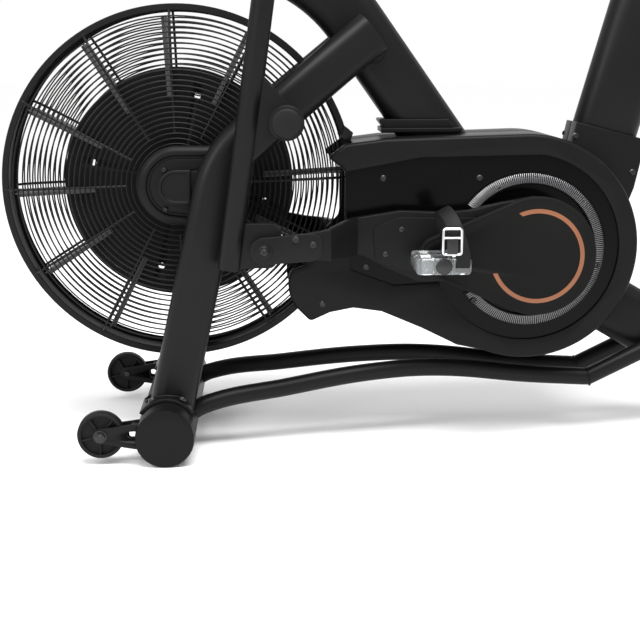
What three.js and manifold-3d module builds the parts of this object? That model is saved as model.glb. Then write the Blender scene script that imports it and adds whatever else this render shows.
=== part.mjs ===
// Air bike: a fan-braked exercise bike with swinging handle levers.
// Millimetres. +X points to the rear, +Y to the rider's right, +Z up.
// The origin lies on the floor, in the middle of the bike's length and width.
import * as THREE from "three";
import { mergeVertices } from "three/addons/utils/BufferGeometryUtils.js";
import Module from "manifold-3d";

const wasm = await Module();
wasm.setup();

// ---------------------------------------------------------------- driving dimensions
const gap = 0.3; // air between neighbouring pieces
const runGap = 1; // air beside a part that turns

// floor tubes
const stabRadius = 50;
const stabWall = 3;
const frontHalf = 262;
const rearHalf = 235;
const frontX = -399;
const rearX = 650;
const capDepth = 9;

// frame tubes: flat ovals, wide in the side view
const legWide = 78;
const legDeep = 46;
const spineWide = 107;
const spineDeep = 64;
const tubeWall = 3;
const railRadius = 16;
const saddleThick = 6; // plate under each fork leg

// fan and cage
const cageRadius = 311;
const cageLift = 149; // floor to the bottom of the cage
const hoopHalf = 48;
const hoopWide = 12;
const domeHalf = 76;
const hubRadius = 68.5;
const discRadius = 203;
const discY = -22;
const bladeCount = 12;
const bladeReach = 300;
const bladeHalf = 44;
const wireWide = 4;
const spokeCount = 8;
const fan = { x: -380, z: cageLift + cageRadius };

// crank, rods and levers
const crank = { x: 239, z: 344 };
const crankLength = 175;
const crankThrow = 65;
const axleRadius = 15;
const pinRadius = 12;
const pivot = { x: -191, z: 574 };
const foot = { x: -230, z: 362 };
const leverRadius = 19;
const leverY = 194;
const leverLean = 0.1365; // rearward run of the lever tube for each unit of rise
const rodOuterY = 216;
const rodOuterThick = 10;
const rodInnerY = 127;
const rodInnerThick = 20;
const armInnerY = 106;
const armOuterY = 155;
const armThick = 12;
const coverThick = 10;
const pedalHalf = { x: 45, y: 47, z: 14 };
const pedalY = 238;

// drive: belt from the crank to a layshaft, then a belt to the fan
const lay = { x: -68, z: 292 };
const crankPulleyRadius = 125;
const layPinionRadius = 22;
const layPulleyRadius = 32;
const fanPulleyRadius = 25;
const beltThick = 3;
const beltWide = 6;
const primaryY = 66;
const fanBeltY = 53;

// case
const caseCentre = { x: 235, z: 348 };
const caseRadius = 200;
const caseHalf = 98;
const caseWall = 4;
const recessDepth = 6;
const ribInner = 118;
const ribOuter = 138;

// transport wheels
const wheelRadius = 40;
const wheelWide = 24;
const wheelY = 230;
const wheelX = -508;
const wheelZ = 52;

// seat
const seatBase = { x: 357.3, z: 430 };
const seatTopZ = 790;
const seatLean = 0.277; // rearward run of the seat tube for each unit of rise
const postWide = 60;
const postDeep = 44;
const postRise = 170;
const postInside = 200;
const railLong = 230;
const railHigh = 24;
const railAcross = 40;
const saddleLong = 270;
const saddleWide = 210;
const saddleHigh = 62;

// console
const mastRadius = 19;
const consoleZ = 1150;
const consoleX = -262;
const consoleTilt = THREE.MathUtils.degToRad(35);
const consoleSize = { x: 150, y: 220, z: 34 };
const buttonRadius = 9;

// ---------------------------------------------------------------- solid helpers

// A closed geometry as a solid that can be cut and joined.
function solid(geometry) {
  const bare = geometry.index ? geometry.toNonIndexed() : geometry.clone();
  bare.deleteAttribute("normal");
  bare.deleteAttribute("uv");
  const merged = mergeVertices(bare, 1e-3);
  return new wasm.Manifold(
    new wasm.Mesh({
      numProp: 3,
      vertProperties: merged.attributes.position.array,
      triVerts: new Uint32Array(merged.index.array),
    }),
  );
}

function join(first, ...others) {
  return others.reduce((whole, next) => whole.add(next), first);
}

function cut(first, ...tools) {
  return tools.reduce((whole, tool) => whole.subtract(tool), first);
}

// The triangles of a solid as a three.js geometry.
function geometryOf(made) {
  const mesh = made.getMesh();
  const geometry = new THREE.BufferGeometry();
  geometry.setAttribute("position", new THREE.BufferAttribute(mesh.vertProperties, 3));
  geometry.setIndex(new THREE.BufferAttribute(mesh.triVerts, 1));
  return geometry;
}

// The same solid moved by a matrix; a mirroring matrix also turns the faces round.
function moved(made, matrix) {
  const geometry = geometryOf(made).applyMatrix4(matrix);
  if (matrix.determinant() < 0) {
    const order = geometry.index.array;
    for (let i = 0; i < order.length; i += 3) {
      const kept = order[i + 1];
      order[i + 1] = order[i + 2];
      order[i + 2] = kept;
    }
  }
  return solid(geometry);
}

function mirrored(made) {
  return moved(made, new THREE.Matrix4().makeScale(1, -1, 1));
}

function shifted(made, x, y, z) {
  return moved(made, new THREE.Matrix4().makeTranslation(x, y, z));
}

// Turned about a line along Y through centre; a positive angle carries +Z towards +X.
function turned(made, centre, angle) {
  const matrix = new THREE.Matrix4().makeTranslation(centre.x, 0, centre.z);
  matrix.multiply(new THREE.Matrix4().makeRotationY(angle));
  matrix.multiply(new THREE.Matrix4().makeTranslation(-centre.x, 0, -centre.z));
  return moved(made, matrix);
}

// How many flats stand for a circle of this radius.
function sidesFor(radius) {
  if (radius < 22) return 12;
  return radius < 80 ? 18 : 36;
}

// A cylinder along Y.
function round(centre, radius, y0, y1, sides = sidesFor(radius)) {
  const geometry = new THREE.CylinderGeometry(radius, radius, y1 - y0, sides);
  geometry.translate(centre.x, (y0 + y1) / 2, centre.z);
  return solid(geometry);
}

// What a bore takes away, so that a pin of this radius turns in it with clearance all round.
function boring(centre, radius, y0, y1) {
  const outer = (radius + gap) / Math.cos(Math.PI / sidesFor(radius));
  return round(centre, outer, y0, y1, sidesFor(radius));
}

function ring(centre, outer, inner, y0, y1, sides = sidesFor(outer)) {
  return cut(round(centre, outer, y0, y1, sides), round(centre, inner, y0 - 1, y1 + 1, sides));
}

// An outline drawn in the side view, as a slab from y0 to y1.
function slab(points, y0, y1, hole) {
  const shape = new THREE.Shape(points.map(([x, z]) => new THREE.Vector2(x, z)));
  if (hole) shape.holes.push(new THREE.Path(hole.map(([x, z]) => new THREE.Vector2(x, z))));
  const geometry = new THREE.ExtrudeGeometry(shape, { depth: y1 - y0, bevelEnabled: false });
  geometry.rotateX(Math.PI / 2);
  geometry.translate(0, y1, 0);
  return solid(geometry);
}

// An outline drawn from above, as a slab from z0 to z1.
function deck(points, z0, z1) {
  const shape = new THREE.Shape(points.map(([x, y]) => new THREE.Vector2(x, y)));
  const geometry = new THREE.ExtrudeGeometry(shape, { depth: z1 - z0, bevelEnabled: false });
  geometry.translate(0, 0, z0);
  return solid(geometry);
}

function box(x0, x1, y0, y1, z0, z1) {
  const geometry = new THREE.BoxGeometry(x1 - x0, y1 - y0, z1 - z0);
  geometry.translate((x0 + x1) / 2, (y0 + y1) / 2, (z0 + z1) / 2);
  return solid(geometry);
}

// Points of an arc in the side view, from one angle to another, in degrees.
function arc(centre, radius, from, to, steps) {
  return Array.from({ length: steps + 1 }, (_, i) => {
    const angle = THREE.MathUtils.degToRad(from + ((to - from) * i) / steps);
    return [centre.x + radius * Math.cos(angle), centre.z + radius * Math.sin(angle)];
  });
}

// An outline grown outwards (or shrunk, with a negative amount); it runs anticlockwise.
function grown(points, amount) {
  return points.map(([x, z], i) => {
    const [px, pz] = points[(i + points.length - 1) % points.length];
    const [nx, nz] = points[(i + 1) % points.length];
    const before = new THREE.Vector2(z - pz, px - x).normalize();
    const after = new THREE.Vector2(nz - z, x - nx).normalize();
    const middle = before.clone().add(after);
    middle.multiplyScalar(amount / Math.max(0.6, 1 + before.dot(after)));
    return [x + middle.x, z + middle.y];
  });
}

// The loop of a belt round two pulleys, as an outline.
function beltLoop(a, ra, b, rb, steps = 12) {
  const along = Math.atan2(b.z - a.z, b.x - a.x);
  const wrap = Math.acos((ra - rb) / Math.hypot(b.x - a.x, b.z - a.z));
  const degrees = THREE.MathUtils.radToDeg;
  const first = degrees(along + wrap);
  const last = degrees(along - wrap);
  return [...arc(a, ra, first, last + 360, steps), ...arc(b, rb, last, first, steps)];
}

// A flat oval section: its first axis lies across the bike, its second in the side view.
function ovalPoints(wide, deep, sides = 4) {
  const radius = deep / 2;
  const reach = wide / 2 - radius;
  const half = (sign) =>
    Array.from({ length: sides + 1 }, (_, i) => {
      const angle = (Math.PI * i) / sides;
      return new THREE.Vector2(
        sign * radius * Math.cos(angle),
        sign * (reach + radius * Math.sin(angle)),
      );
    });
  const points = [...half(1), ...half(-1)];
  return reach > 0 ? points : points.filter((_, i) => i !== sides + 1 && i !== 2 * sides + 1);
}

function roundPoints(radius, sides = 12) {
  return Array.from({ length: sides }, (_, i) => {
    const angle = (2 * Math.PI * (i + 0.5)) / sides;
    return new THREE.Vector2(radius * Math.cos(angle), radius * Math.sin(angle));
  });
}

// A section swept along a path; an inner section makes it a tube.
function sweep(path, steps, outer, inner) {
  const shape = new THREE.Shape(outer);
  if (inner) shape.holes.push(new THREE.Path(inner));
  return solid(new THREE.ExtrudeGeometry(shape, { steps, extrudePath: path, curveSegments: 1 }));
}

// A path of points through corners that are rounded to the given radius.
function bentPath(corners, radius, cornerSteps = 5) {
  const points = corners.map(([x, y, z]) => new THREE.Vector3(x, y, z));
  const path = [points[0]];
  for (let i = 1; i < points.length - 1; i += 1) {
    const back = points[i - 1].clone().sub(points[i]).normalize();
    const ahead = points[i + 1].clone().sub(points[i]).normalize();
    const half = back.angleTo(ahead) / 2;
    const reach = radius / Math.tan(half);
    const centre = back.clone().add(ahead).normalize();
    centre.multiplyScalar(radius / Math.sin(half)).add(points[i]);
    const start = points[i].clone().addScaledVector(back, reach).sub(centre);
    const end = points[i].clone().addScaledVector(ahead, reach).sub(centre);
    const axis = start.clone().cross(end).normalize();
    const sweepAngle = start.angleTo(end);
    for (let k = 0; k <= cornerSteps; k += 1) {
      const spoke = start.clone().applyAxisAngle(axis, (sweepAngle * k) / cornerSteps);
      path.push(spoke.add(centre));
    }
  }
  path.push(points[points.length - 1]);
  return path;
}

// A curve that visits each given point exactly, one step each, with mitred joints.
class PolylinePath extends THREE.Curve {
  constructor(points) {
    super();
    this.points = points;
  }

  getPoint(t, target = new THREE.Vector3()) {
    const place = Math.min(Math.max(t, 0), 1) * (this.points.length - 1);
    const index = Math.min(Math.floor(place), this.points.length - 2);
    return target.lerpVectors(this.points[index], this.points[index + 1], place - index);
  }

  getPointAt(u, target) {
    return this.getPoint(u, target);
  }

  getSpacedPoints(divisions) {
    return Array.from({ length: divisions + 1 }, (_, i) => this.getPoint(i / divisions));
  }

  getTangentAt(u, target = new THREE.Vector3()) {
    const last = this.points.length - 1;
    const index = Math.round(u * last);
    const before = this.points[Math.max(index - 1, 0)];
    const after = this.points[Math.min(index + 1, last)];
    const here = this.points[index];
    const ahead = after.clone().sub(here).normalize();
    const behind = here.clone().sub(before).normalize();
    return target.copy(ahead).add(behind).normalize();
  }
}

function bentTube(corners, radius, outer, inner, cornerSteps) {
  const points = corners.length > 2 ? bentPath(corners, radius, cornerSteps) : null;
  const path = new PolylinePath(points ?? corners.map((c) => new THREE.Vector3(...c)));
  return sweep(path, path.points.length - 1, outer, inner);
}

function ovalTube(corners, radius, wide, deep, wall, cornerSteps) {
  const inner = wall ? ovalPoints(wide - 2 * wall, deep - 2 * wall) : null;
  return bentTube(corners, radius, ovalPoints(wide, deep), inner, cornerSteps);
}

function roundTube(corners, radius, tubeRadius, wall, cornerSteps, sides) {
  const inner = wall ? roundPoints(tubeRadius - wall, sides) : null;
  return bentTube(corners, radius, roundPoints(tubeRadius, sides), inner, cornerSteps);
}

// ---------------------------------------------------------------- the assembly

const bike = new THREE.Group();

const looks = {
  frame: { color: 0x1b1b1d, roughness: 0.45, metalness: 0.4 },
  plastic: { color: 0x161618, roughness: 0.5, metalness: 0 },
  gloss: { color: 0x0b0b0c, roughness: 0.15, metalness: 0 },
  steel: { color: 0x8e9094, roughness: 0.35, metalness: 1 },
  chrome: { color: 0xdddddd, roughness: 0.08, metalness: 1 },
  rubber: { color: 0x111111, roughness: 0.85, metalness: 0 },
  clear: { color: 0xc9d0d2, roughness: 0.1, metalness: 0 },
  wire: { color: 0x131314, roughness: 0.4, metalness: 0.5 },
  leather: { color: 0x141414, roughness: 0.6, metalness: 0 },
};

function add(name, made, look) {
  const mesh = new THREE.Mesh(geometryOf(made), new THREE.MeshStandardMaterial(looks[look]));
  mesh.name = name;
  bike.add(mesh);
}

// Adds a piece that was built on the right, and its mirror image on the left.
function addPair(name, made, look) {
  add(`${name}_right`, made, look);
  add(`${name}_left`, mirrored(made), look);
}

// ---------------------------------------------------------------- floor tubes

// A round floor tube along Y with one facet flat on the floor.
const stabSides = 20;
const facetTurn = Math.PI / stabSides;

function floorTube(x, half, wall, grow = 0) {
  const corner = (stabRadius + grow) / Math.cos(facetTurn);
  const geometry = new THREE.CylinderGeometry(corner, corner, 2 * half, stabSides);
  geometry.rotateY(facetTurn);
  geometry.translate(x, 0, stabRadius);
  const whole = solid(geometry);
  if (!wall) return whole;
  return cut(whole, round({ x, z: stabRadius }, stabRadius - wall, -half - 1, half + 1));
}

function floorCap(x, half) {
  const rim = floorTube(x, half, 0);
  const kept = box(x - 60, x + 60, half - capDepth + gap, half + 1, -1, 2 * stabRadius + 1);
  const plug = round({ x, z: stabRadius }, stabRadius - stabWall - gap, half - 30, half - 5);
  return join(rim.intersect(kept), plug);
}

const frontTube = floorTube(frontX, frontHalf - capDepth, stabWall);
const rearTube = floorTube(rearX, rearHalf - capDepth, stabWall);

// Two welded cheek plates carry each transport wheel.
function wheelCheek(y0, y1) {
  const outline = [
    ...arc({ x: wheelX, z: wheelZ }, 13, 90, 270, 6),
    [frontX, stabRadius - 24],
    [frontX, stabRadius + 24],
  ];
  const plate = slab(outline, y0, y1);
  const window = slab(
    [
      [wheelX + 48, wheelZ - 8],
      [wheelX + 62, wheelZ - 9],
      [wheelX + 62, wheelZ + 9],
      [wheelX + 48, wheelZ + 8],
    ],
    y0 - 1,
    y1 + 1,
  );
  const bore = boring({ x: wheelX, z: wheelZ }, 5, y0 - 1, y1 + 1);
  return cut(plate, window, bore, round({ x: frontX, z: stabRadius }, stabRadius - 1, y0 - 1, y1 + 1));
}

const cheekOut = wheelWide / 2 + runGap;
const cheeks = [wheelY - cheekOut - 4, wheelY + cheekOut].map((y) => wheelCheek(y, y + 4));
const allCheeks = join(cheeks[0], cheeks[1], ...cheeks.map(mirrored));
add("front_stabiliser", join(frontTube, allCheeks), "frame");
addPair("front_cap", floorCap(frontX, frontHalf), "plastic");
add("rear_stabiliser", rearTube, "frame");
addPair("rear_cap", floorCap(rearX, rearHalf), "plastic");

// Each wheel turns on its own bolt, which is part of the wheel.
function transportWheel() {
  const centre = { x: wheelX, z: wheelZ };
  const tyre = round(centre, wheelRadius, wheelY - wheelWide / 2, wheelY + wheelWide / 2);
  const bolt = round(centre, 5, wheelY - 21, wheelY + 21);
  const head = round(centre, 9, wheelY + 18, wheelY + 24, 6);
  return join(tyre, bolt, head);
}
addPair("transport_wheel", transportWheel(), "plastic");

// ---------------------------------------------------------------- fork legs

const legLow = [frontX, 165, stabRadius];
const legKnee = [-299.5, 143, 507];
const legEnd = [-40, 85, 722];
const kneeSteps = 3;
const saddleSides = 24;
const armSlope = (legKnee[1] - legEnd[1]) / (legEnd[0] - legKnee[0]);

function forkLeg() {
  const path = [legLow, legKnee, legEnd];
  const tube = ovalTube(path, 150, legWide, legDeep, tubeWall, kneeSteps);
  const armAngle = Math.atan2(legEnd[2] - legKnee[2], legEnd[0] - legKnee[0]);
  const lidBox = turned(box(legEnd[0] - 6, legEnd[0] + 9, 0, 300, legEnd[2] - 80, legEnd[2] + 80), {
    x: legEnd[0],
    z: legEnd[2],
  }, -armAngle);
  const lid = solidLeg(-0.5).intersect(lidBox);
  const saddle = cut(
    box(frontX - 46, frontX + 46, legLow[1] - 42, legLow[1] + 42, stabRadius + 26, 2 * stabRadius + 8),
    floorTube(frontX, frontHalf, 0, gap),
  );
  const seat = round({ x: frontX, z: stabRadius }, stabRadius + saddleThick, 0, frontHalf, saddleSides);
  const bracket = slab(
    [
      ...arc(fan, 26, 90, 270, 6),
      [fan.x + 78, fan.z - 30],
      [fan.x + 88, fan.z + 30],
    ],
    legKnee[1] - legDeep / 2 - 3,
    legKnee[1] - legDeep / 2 + 3,
  );
  const whole = join(tube, lid, saddle.intersect(seat), bracket);
  const clearOfTube = floorTube(frontX, frontHalf, 0, gap);
  const partWay = new THREE.Vector3(...legLow).lerp(new THREE.Vector3(...legKnee), 0.25).toArray();
  const throat = ovalTube([legLow, partWay], 0, legWide - 2 * tubeWall, legDeep - 2 * tubeWall, 0);
  return cut(whole, clearOfTube, throat, boring(fan, 10, 0, 300));
}
const legSolid = forkLeg();

// ---------------------------------------------------------------- main tube

const mainBase = { x: 105, z: 500 };
const mainLean = THREE.MathUtils.degToRad(35.5);
const mainTopZ = fan.z + cageRadius + 40 + spineWide / 2;
const mainFrontX = fan.x + 22;
const mainCornerX = mainBase.x - (mainTopZ - mainBase.z) * Math.tan(mainLean);

function mainAt(z) {
  return mainBase.x - (z - mainBase.z) * Math.tan(mainLean);
}

function mainTube(wide, deep, wall) {
  const path = [
    [mainBase.x, 0, mainBase.z],
    [mainCornerX, 0, mainTopZ],
    [mainFrontX, 0, mainTopZ],
  ];
  return ovalTube(path, 300, wide, deep, wall, 6);
}

const crossZ = legEnd[2] - 28;
const crossRadius = 22;
const crossCentre = { x: mainAt(crossZ) - 4, z: crossZ };

function wholeMainTube() {
  const nose = ovalTube(
    [
      [mainFrontX, 0, mainTopZ],
      [mainFrontX + 5, 0, mainTopZ],
    ],
    0,
    spineWide - 1,
    spineDeep - 1,
    0,
  );
  const tube = join(mainTube(spineWide, spineDeep, tubeWall), nose);
  const cross = round(crossCentre, crossRadius, -legKnee[1], legKnee[1]);
  const legs = join(solidLeg(2 * gap), mirrored(solidLeg(2 * gap)));
  return cut(join(tube, cross), legs, outsideOfLegs());
}

// The leg's outer form without its hollow, grown by a clearance.
function solidLeg(clear) {
  return ovalTube([legLow, legKnee, legEnd], 150, legWide + 2 * clear, legDeep + 2 * clear, 0, kneeSteps);
}

// All the space beyond the legs' middle planes near the cross tube.
function outsideOfLegs() {
  const reach = legEnd[1];
  const side = box(crossCentre.x - 60, crossCentre.x + 60, reach, 200, crossZ - 60, crossZ + 60);
  return join(side, mirrored(side));
}

add("main_tube", wholeMainTube(), "frame");
addPair("fork_leg", legSolid, "frame");

// ---------------------------------------------------------------- spine, seat tube, rear stay

function seatAt(z) {
  return seatBase.x + (z - seatBase.z) * seatLean;
}

const seatTilt = Math.atan(seatLean);
const stayAngle = THREE.MathUtils.degToRad(30);
const stayBase = { x: 362, z: 256 };
const stayLong = (rearX - stayBase.x) / Math.cos(stayAngle);
const stayEnd = { x: rearX, z: stayBase.z - stayLong * Math.sin(stayAngle) };

// The two ends of a tube's mouth in the side view, for a tube that leaves base at an angle.
function mouth(base, angle) {
  const half = spineWide / 2;
  return [
    [base.x - half * Math.sin(angle), base.z + half * Math.cos(angle)],
    [base.x + half * Math.sin(angle), base.z - half * Math.cos(angle)],
  ];
}

function spine() {
  const [mainHigh, mainLow] = mouth(mainBase, Math.PI / 2 + mainLean);
  const [seatLow, seatHigh] = mouth(seatBase, Math.PI / 2 - seatTilt);
  const [stayHigh, stayLow] = mouth(stayBase, -stayAngle);
  const outline = [
    mainHigh,
    [crank.x - 60, crank.z - 34],
    [crank.x + 20, crank.z - 44],
    stayLow,
    stayHigh,
    seatHigh,
    seatLow,
    mainLow,
  ];
  const half = spineDeep / 2 - 4;
  const frame = cut(slab(outline, -half, half), slab(grown(outline, -4), 4 - half, half + 1));
  const shell = round(crank, 30, -50, 50);
  const hanger = slab(
    [
      [mainHigh[0] - 6, mainHigh[1] - 34],
      [lay.x - 16, lay.z + 8],
      [lay.x + 4, lay.z - 14],
      [crank.x - 50, crank.z - 30],
      [mainHigh[0] + 60, mainHigh[1] - 60],
    ],
    -half,
    6 - half,
  );
  const layBoss = round(lay, 17, -48, 6 - half);
  const bores = [
    boring(crank, axleRadius, -60, 60),
    boring(lay, 8, -60, 60),
  ];
  return cut(join(frame, shell, hanger, layBoss), ...bores);
}

function seatTube(grow, wall, from = gap) {
  const path = [
    [seatAt(seatBase.z) + from * Math.sin(seatTilt), 0, seatBase.z + from * Math.cos(seatTilt)],
    [seatAt(seatTopZ), 0, seatTopZ],
  ];
  return ovalTube(path, 0, spineWide + 2 * grow, spineDeep + 2 * grow, wall);
}

// A point on the seat tube's axis, a distance above the top of the tube.
function seatAxis(above) {
  return [seatAt(seatTopZ) + above * Math.sin(seatTilt), 0, seatTopZ + above * Math.cos(seatTilt)];
}

function postBar(grow, from, to) {
  return ovalTube([seatAxis(from), seatAxis(to)], 0, postWide + 2 * grow, postDeep + 2 * grow, 0);
}

const knobRise = -34; // along the seat tube, from its top
const knobAim = new THREE.Vector3(Math.cos(seatTilt), 0, -Math.sin(seatTilt));

// A round bar that stands on the seat tube's rear face, between two distances from the axis.
function knobBar(radius, from, to, sides = 20) {
  const root = new THREE.Vector3(...seatAxis(knobRise));
  const ends = [from, to].map((d) => root.clone().addScaledVector(knobAim, d).toArray());
  return roundTube(ends, 0, radius, 0, 1, sides);
}

function wholeSeatTube() {
  const plate = ovalTube([seatAxis(-8), seatAxis(0)], 0, spineWide - 1, spineDeep - 1, 0);
  const lug = knobBar(15, spineWide / 2 - 6, spineWide / 2 + 12);
  const postHole = postBar(gap + 0.3, -postInside - 20, 40);
  return cut(join(seatTube(0, tubeWall), plate, lug), postHole, knobBar(6 + gap, 0, 90));
}

const staySolidEnds = [
  [stayBase.x + gap * Math.cos(stayAngle), 0, stayBase.z - gap * Math.sin(stayAngle)],
  [stayEnd.x, 0, stayEnd.z],
];

function rearStay() {
  const tube = ovalTube(staySolidEnds, 0, spineWide, spineDeep, tubeWall);
  const clear = floorTube(rearX, rearHalf, 0, gap);
  const beyond = box(rearX - 6, rearX + 200, -80, 80, -200, 300);
  const below = box(rearX - 150, rearX + 200, -80, 80, -200, stabRadius - 20);
  return cut(tube, clear, beyond, below);
}

add("frame_spine", spine(), "frame");
add("seat_tube", wholeSeatTube(), "frame");
add("rear_stay", rearStay(), "frame");

// ---------------------------------------------------------------- bottom rails

const railPoints = [
  [frontX + 40, 133, 66],
  [-335, 129, 76],
  [-193, 105, 100],
  [-28, 76, 121],
  [82, 63, 124],
  [259, 51, 107],
  [365, 50, 101],
  [507, 50, 171],
];

function bottomRail() {
  const points = railPoints.map((p) => new THREE.Vector3(...p));
  const path = new PolylinePath(points);
  const outer = roundPoints(railRadius, 12);
  const tube = sweep(path, points.length - 1, outer, roundPoints(railRadius - 2, 12));
  const stay = ovalTube(staySolidEnds, 0, spineWide + 2 * gap, spineDeep + 2 * gap, 0);
  const front = round({ x: frontX, z: stabRadius }, stabRadius + saddleThick + gap, 0, 300, saddleSides);
  return cut(tube, stay, front, solidLeg(2 * gap));
}
addPair("bottom_rail", bottomRail(), "frame");

// ---------------------------------------------------------------- case

// The case in the side view, anticlockwise: a disc round the crank with a snout to the cage.
function caseOutline() {
  const lobe = { x: -116, z: 284 };
  return [
    ...arc(caseCentre, caseRadius, -112, 90, 20),
    [-15, 540],
    [-85, 531],
    [-117, 508],
    [-87, 485],
    [-87, 389],
    [-155, 318],
    ...arc(lobe, 71, 160, 215, 3),
    [-148, 217],
    [-113, 233],
    [-72, 241],
    [-21, 234],
    [50, 204],
    [115, 172],
  ];
}

// The hood that stands up round the foot of the seat tube.
function seatHood() {
  const top = 552;
  const low = seatAt(420);
  const high = seatAt(top);
  const run = seatLean * 18;
  return [
    [low - 60, 400],
    [low + 66, 400],
    [low + 84, 447],
    [high + 66, top - 18],
    [high - 66 + run, top + 14],
  ];
}

const hoodHalf = spineDeep / 2 + 10;

// The space that the fan belt needs where it passes the case's wall and the grille's rim.
function beltPassage() {
  const loop = beltLoop(fan, fanPulleyRadius + 9, lay, layPulleyRadius + 9);
  return slab(loop, -fanBeltY - beltWide / 2 - 2, -fanBeltY + beltWide / 2 + 2);
}

function caseShell() {
  const outline = caseOutline();
  const cage = round(fan, cageRadius + 8, 0, domeHalf + 2, 48);
  const cageSpace = round(fan, cageRadius + 4, -1, domeHalf + 1, 48);
  const rim = 19;
  const recess = slab(grown(outline, -rim), caseHalf - recessDepth, caseHalf + 1);
  const skin = join(cut(slab(outline, gap / 2, caseHalf), recess), slab(seatHood(), gap / 2, hoodHalf));
  const hollow = cut(slab(grown(outline, -caseWall), -1, caseHalf - recessDepth - caseWall), cage);
  const hoodHollow = slab(grown(seatHood(), -caseWall), -1, hoodHalf - caseWall);
  const tubes = [
    mainTube(spineWide + 4 * gap, spineDeep + 4 * gap, 0),
    seatTube(2 * gap, 0, -20),
    ovalTube(staySolidEnds, 0, spineWide + 4 * gap, spineDeep + 4 * gap, 0),
  ];
  const axle = round(crank, axleRadius + runGap, 0, 200);
  return cut(skin, hollow, hoodHollow, cageSpace, axle, ...tubes);
}

const shell = caseShell();
add("chain_case_right", shell, "plastic");
add("chain_case_left", cut(mirrored(shell), beltPassage()), "plastic");

// A ribbed trim ring stands round the crank, open at the lower front.
function ribRing() {
  const y0 = caseHalf - recessDepth + gap;
  const outline = [...arc(crank, ribOuter, -145, 145, 22), ...arc(crank, ribInner, 145, -145, 22)];
  return slab(outline, y0, y0 + 8);
}
addPair("rib_ring", ribRing(), "gloss");

// A plastic collar closes the gap where the main tube leaves the case.
function mainCollar() {
  const reach = spineWide / 2 + 12;
  const centre = mainAt(556);
  const half = spineDeep / 2 + 9;
  const block = box(centre - reach - 14, centre + reach + 8, -half, half, 549.5, 563);
  return cut(block, mainTube(spineWide + 4 * gap, spineDeep + 4 * gap, 0));
}
add("main_tube_collar", mainCollar(), "plastic");

// ---------------------------------------------------------------- fan, cage and belts

// How far the grille stands from the middle plane, at a radius.
function domeAt(radius) {
  const flat = 190;
  const share = Math.max(0, (radius - flat) / (cageRadius - hoopWide - flat));
  return hoopHalf + (domeHalf - wireWide - hoopHalf) * Math.sqrt(Math.max(0, 1 - share * share));
}

function wireRing(radius) {
  const y = domeAt(radius);
  return ring(fan, radius + wireWide / 2, radius - wireWide / 2, y, y + wireWide, 24);
}

function spoke(index) {
  const angle = (2 * Math.PI * (index + 0.1)) / spokeCount;
  const radii = [hubRadius - 12, 190, cageRadius - 1];
  const points = radii.map((radius) => {
    const y = domeAt(radius) + wireWide / 2;
    return new THREE.Vector3(fan.x + radius * Math.cos(angle), y, fan.z + radius * Math.sin(angle));
  });
  const half = wireWide / 2;
  const section = [
    [-half, -half],
    [half, -half],
    [half, half],
    [-half, half],
  ].map(([x, y]) => new THREE.Vector2(x, y));
  return sweep(new PolylinePath(points), points.length - 1, section);
}

function grille() {
  const rings = [hubRadius - 10, 190, cageRadius - 4].map(wireRing);
  const spokes = Array.from({ length: spokeCount }, (_, i) => spoke(i));
  const wires = join(...rings, ...spokes);
  const hoopSpace = round(fan, cageRadius + 1, 0, hoopHalf + gap, 48);
  return cut(wires, hoopSpace);
}
add("cage_grille_right", grille(), "wire");
add("cage_grille_left", cut(mirrored(grille()), beltPassage()), "wire");

function hoop() {
  return ring(fan, cageRadius, cageRadius - 3, -hoopHalf, hoopHalf, 48);
}
add("cage_hoop", hoop(), "frame");

// A disc with four holes carries the blades, each an angle section.
function impeller() {
  const disc = round(fan, discRadius, discY, discY + 3);
  const holes = Array.from({ length: 4 }, (_, i) => {
    const angle = THREE.MathUtils.degToRad(77 + 90 * i);
    const centre = { x: fan.x + 162 * Math.cos(angle), z: fan.z + 162 * Math.sin(angle) };
    return round(centre, 6, discY - 1, discY + 4, 8);
  });
  const blade = join(
    box(fan.x + 150, fan.x + bladeReach, -bladeHalf, bladeHalf, fan.z, fan.z + 3),
    box(fan.x + 150, fan.x + bladeReach, discY, discY + 3, fan.z, fan.z + 14),
  );
  const blades = Array.from({ length: bladeCount }, (_, i) =>
    turned(blade, fan, (-2 * Math.PI * (i + 0.13)) / bladeCount),
  );
  const hub = round(fan, 34, discY - 16, discY + 16);
  const bore = boring(fan, 10, -100, 100);
  return cut(join(disc, hub, ...blades), ...holes, bore);
}
add("impeller", impeller(), "plastic");

function fanAxle() {
  const shaft = round(fan, 10, -legKnee[1] + 12, legKnee[1] - 12);
  const pulley = round(fan, fanPulleyRadius, -fanBeltY - beltWide / 2, -fanBeltY + beltWide / 2);
  return join(shaft, pulley);
}
add("fan_axle", fanAxle(), "steel");

function layshaft() {
  const shaft = round(lay, 8, -primaryY - beltWide / 2, -18);
  const pinion = round(lay, layPinionRadius, -primaryY - beltWide / 2, -primaryY + beltWide / 2);
  const pulley = round(lay, layPulleyRadius, -fanBeltY - beltWide / 2, -fanBeltY + beltWide / 2);
  return join(shaft, pinion, pulley);
}
add("layshaft", layshaft(), "steel");

function belt(a, ra, b, rb, y) {
  const steps = 20;
  const corner = 1 / Math.cos((1.2 * Math.PI) / 2 / steps);
  const around = (grow) => beltLoop(a, (ra + grow) * corner, b, (rb + grow) * corner, steps);
  const outer = around(gap + beltThick);
  const inner = around(gap);
  return slab(outer, y - beltWide / 2 + 0.5, y + beltWide / 2 - 0.5, inner);
}
add("crank_belt", belt(crank, crankPulleyRadius, lay, layPinionRadius, -primaryY), "rubber");
add("fan_belt", belt(fan, fanPulleyRadius, lay, layPulleyRadius, -fanBeltY), "rubber");

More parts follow.
